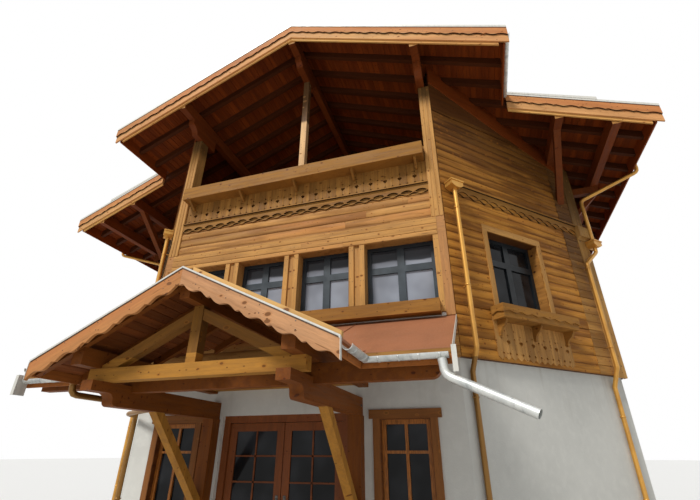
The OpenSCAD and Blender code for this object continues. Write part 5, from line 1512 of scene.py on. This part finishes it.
class CHALET_OT_box_soil(ChaletOperator, bpy.types.Operator):
    """Fill the long boxes with uneven soil"""
    bl_idname = "chalet.box_soil"
    bl_label = "Box soil"

    def execute(self, context):
        stock = Stock(91)
        front = Spot((0, 0, 0), (1, 0, 0), (0, -1, 0), UP)
        cant = wall_spot("cant")
        slanting = Spot(cant.origin, cant.u, cant.n, UP)
        self.bed(stock, front, -2.40, 2.40, 0.0, 0.24, PARAPET_TOP)
        for spot, *box in ((front, 0.09, 2.43, 0.03, 0.23, 3.722),
                           (slanting, 0.68, 2.33, 0.03, 0.25, 3.73)):
            for half in (spot, spot.mirrored()):
                self.bed(stock, half, *box)
        stock.build("box_soil", "soil")
        return {"FINISHED"}

    def bed(self, stock, spot, s0, s1, d0, d1, top):
        """A closed slab inside a box's walls, whose upper side is a grid of small mounds."""
        s0, s1, d0, d1 = s0 + BOX_WALL, s1 - BOX_WALL, d0 + BOX_WALL, d1 - BOX_WALL
        columns, rows = int((s1 - s0) / 0.035), 6
        points, faces = [], []
        for i in range(columns + 1):
            for j in range(rows + 1):
                s = s0 + (s1 - s0) * i / columns
                d = d0 + (d1 - d0) * j / rows
                edge = i in (0, columns) or j in (0, rows)
                lift = 0.0 if edge else stock.random.uniform(0.0, 0.014)
                points.append(spot.at(s, d, top - 0.036 + lift))
        upper = len(points)
        for s, d in ((s0, d0), (s0, d1), (s1, d1), (s1, d0)):
            points.append(spot.at(s, d, top - 0.045))
        for i in range(columns):
            for j in range(rows):
                a = i * (rows + 1) + j
                faces.append([a, a + 1, a + rows + 2, a + rows + 1])
        first = list(range(rows + 1))
        last = [columns * (rows + 1) + j for j in first]
        near = [i * (rows + 1) for i in range(columns + 1)]
        away = [i + rows for i in near]
        for side, a, b in ((first, 1, 0), (last, 2, 3), (near, 3, 0), (away, 2, 1)):
            faces.append(side + [upper + a, upper + b])
        faces.append([upper, upper + 1, upper + 2, upper + 3])
        stock.shell(points, faces)


# STAGE

EYE = Vector((2.847, -9.7, 1.77))
EYE_RIGHT = Vector((0.9538, 0.3008, 0.0004))
EYE_UP = Vector((0.1349, -0.4293, 0.8934))
SENSOR = 36.0
LENS = 20.77
SUN_WAY = Vector((-0.30, -0.62, 0.72))
SUN_STRENGTH = 2.7
SUN_ANGLE = math.radians(14)
SUN_COLOUR = (1.0, 0.975, 0.93)
SKY, WHITE = (0.93, 0.96, 1.0), (1.0, 1.0, 1.0)
SKY_STRENGTH = 0.38
FLOOR_REACH = 150.0
FLOOR_LIT, FLOOR_SEEN = (0.62, 0.61, 0.59), (0.86, 0.86, 0.85)


class CHALET_OT_stage(ChaletOperator, bpy.types.Operator):
    """Set the camera, the light and the floor"""
    bl_idname = "chalet.stage"
    bl_label = "Stage"

    def execute(self, context):
        scene = context.scene
        scene.view_settings.view_transform = "Standard"
        self.camera(scene)
        self.sun(scene)
        self.sky(scene)
        self.floor(scene)
        return {"FINISHED"}

    def camera(self, scene):
        data = bpy.data.cameras.new("photo_camera")
        data.sensor_fit = "HORIZONTAL"
        data.sensor_width = SENSOR
        data.lens = LENS
        data.clip_end = 500.0
        camera = bpy.data.objects.new("photo_camera", data)
        back = EYE_RIGHT.cross(EYE_UP).normalized()
        right = EYE_UP.cross(back).normalized()
        turn = Matrix((right, back.cross(right), back)).transposed()
        camera.matrix_world = Matrix.Translation(EYE) @ turn.to_4x4()
        scene.collection.objects.link(camera)
        scene.camera = camera

    def sun(self, scene):
        lamp = bpy.data.lights.new("soft_sun", "SUN")
        lamp.energy = SUN_STRENGTH
        lamp.angle = SUN_ANGLE
        lamp.color = SUN_COLOUR
        sun = bpy.data.objects.new("soft_sun", lamp)
        sun.rotation_euler = SUN_WAY.to_track_quat("Z", "Y").to_euler()
        scene.collection.objects.link(sun)

    def sky(self, scene):
        """White where it is seen, soft where it lights."""
        scene.world = bpy.data.worlds.new("studio")
        tree = Tree(scene.world)
        soft, white = (
            tree.node("ShaderNodeBackground", {"Color": colour, "Strength": strength}).outputs[0]
            for colour, strength in ((SKY, SKY_STRENGTH), (WHITE, 1.0))
        )
        mix = tree.node("ShaderNodeMixShader", (tree.seen(), soft, white)).outputs[0]
        tree.node("ShaderNodeOutputWorld", {"Surface": mix})

    def floor(self, scene):
        """A plain floor that looks pale where it is seen."""
        mesh = bpy.data.meshes.new("floor")
        corners = ((-1, -1), (1, -1), (1, 1), (-1, 1))
        mesh.from_pydata([(x * FLOOR_REACH, y * FLOOR_REACH, -0.002) for x, y in corners],
                         [], [(0, 1, 2, 3)])
        tree = Finish("floor", FLOOR_LIT)
        tree.coat(tree.seen(), FLOOR_SEEN)
        tree.finish(0.9)
        mesh.materials.append(MATERIALS["floor"])
        made = bpy.data.objects.new("floor", mesh)
        scene.collection.objects.link(made)


OPERATORS = (
    CHALET_OT_stage, CHALET_OT_finishes, CHALET_OT_siding, CHALET_OT_corner_blocks,
    CHALET_OT_soffits, CHALET_OT_roof_tiles, CHALET_OT_porch_seams, CHALET_OT_rainwater_fixings,
    CHALET_OT_door_fittings, CHALET_OT_fasteners, CHALET_OT_box_soil,
)


class CHALET_PT_sidebar(bpy.types.Panel):
    """The chalet's pieces in the 3D view's sidebar"""
    bl_idname = "CHALET_PT_sidebar"
    bl_label = "Chalet"
    bl_space_type = "VIEW_3D"
    bl_region_type = "UI"
    bl_category = "Chalet"

    def draw(self, context):
        for group, _ in SETTINGS:
            settings = getattr(context.scene, group)
            for key in settings.__annotations__:
                self.layout.prop(settings, key)
        for operator in OPERATORS:
            self.layout.operator(operator.bl_idname)


SETTINGS = (
    ("chalet_boards", ChaletBoardSettings),
    ("chalet_roof", ChaletRoofSettings),
    ("chalet_colours", ChaletColours),
)


def register():
    for name, group in SETTINGS:
        bpy.utils.register_class(group)
        setattr(bpy.types.Scene, name, bpy.props.PointerProperty(type=group))
    for operator in OPERATORS:
        bpy.utils.register_class(operator)
    bpy.utils.register_class(CHALET_PT_sidebar)


def unregister():
    bpy.utils.unregister_class(CHALET_PT_sidebar)
    for operator in reversed(OPERATORS):
        bpy.utils.unregister_class(operator)
    for name, group in reversed(SETTINGS):
        delattr(bpy.types.Scene, name)
        bpy.utils.unregister_class(group)


def main():
    register()
    for operator in OPERATORS:
        group, action = operator.bl_idname.split(".")
        getattr(getattr(bpy.ops, group), action)()


if __name__ == "__main__":
    main()
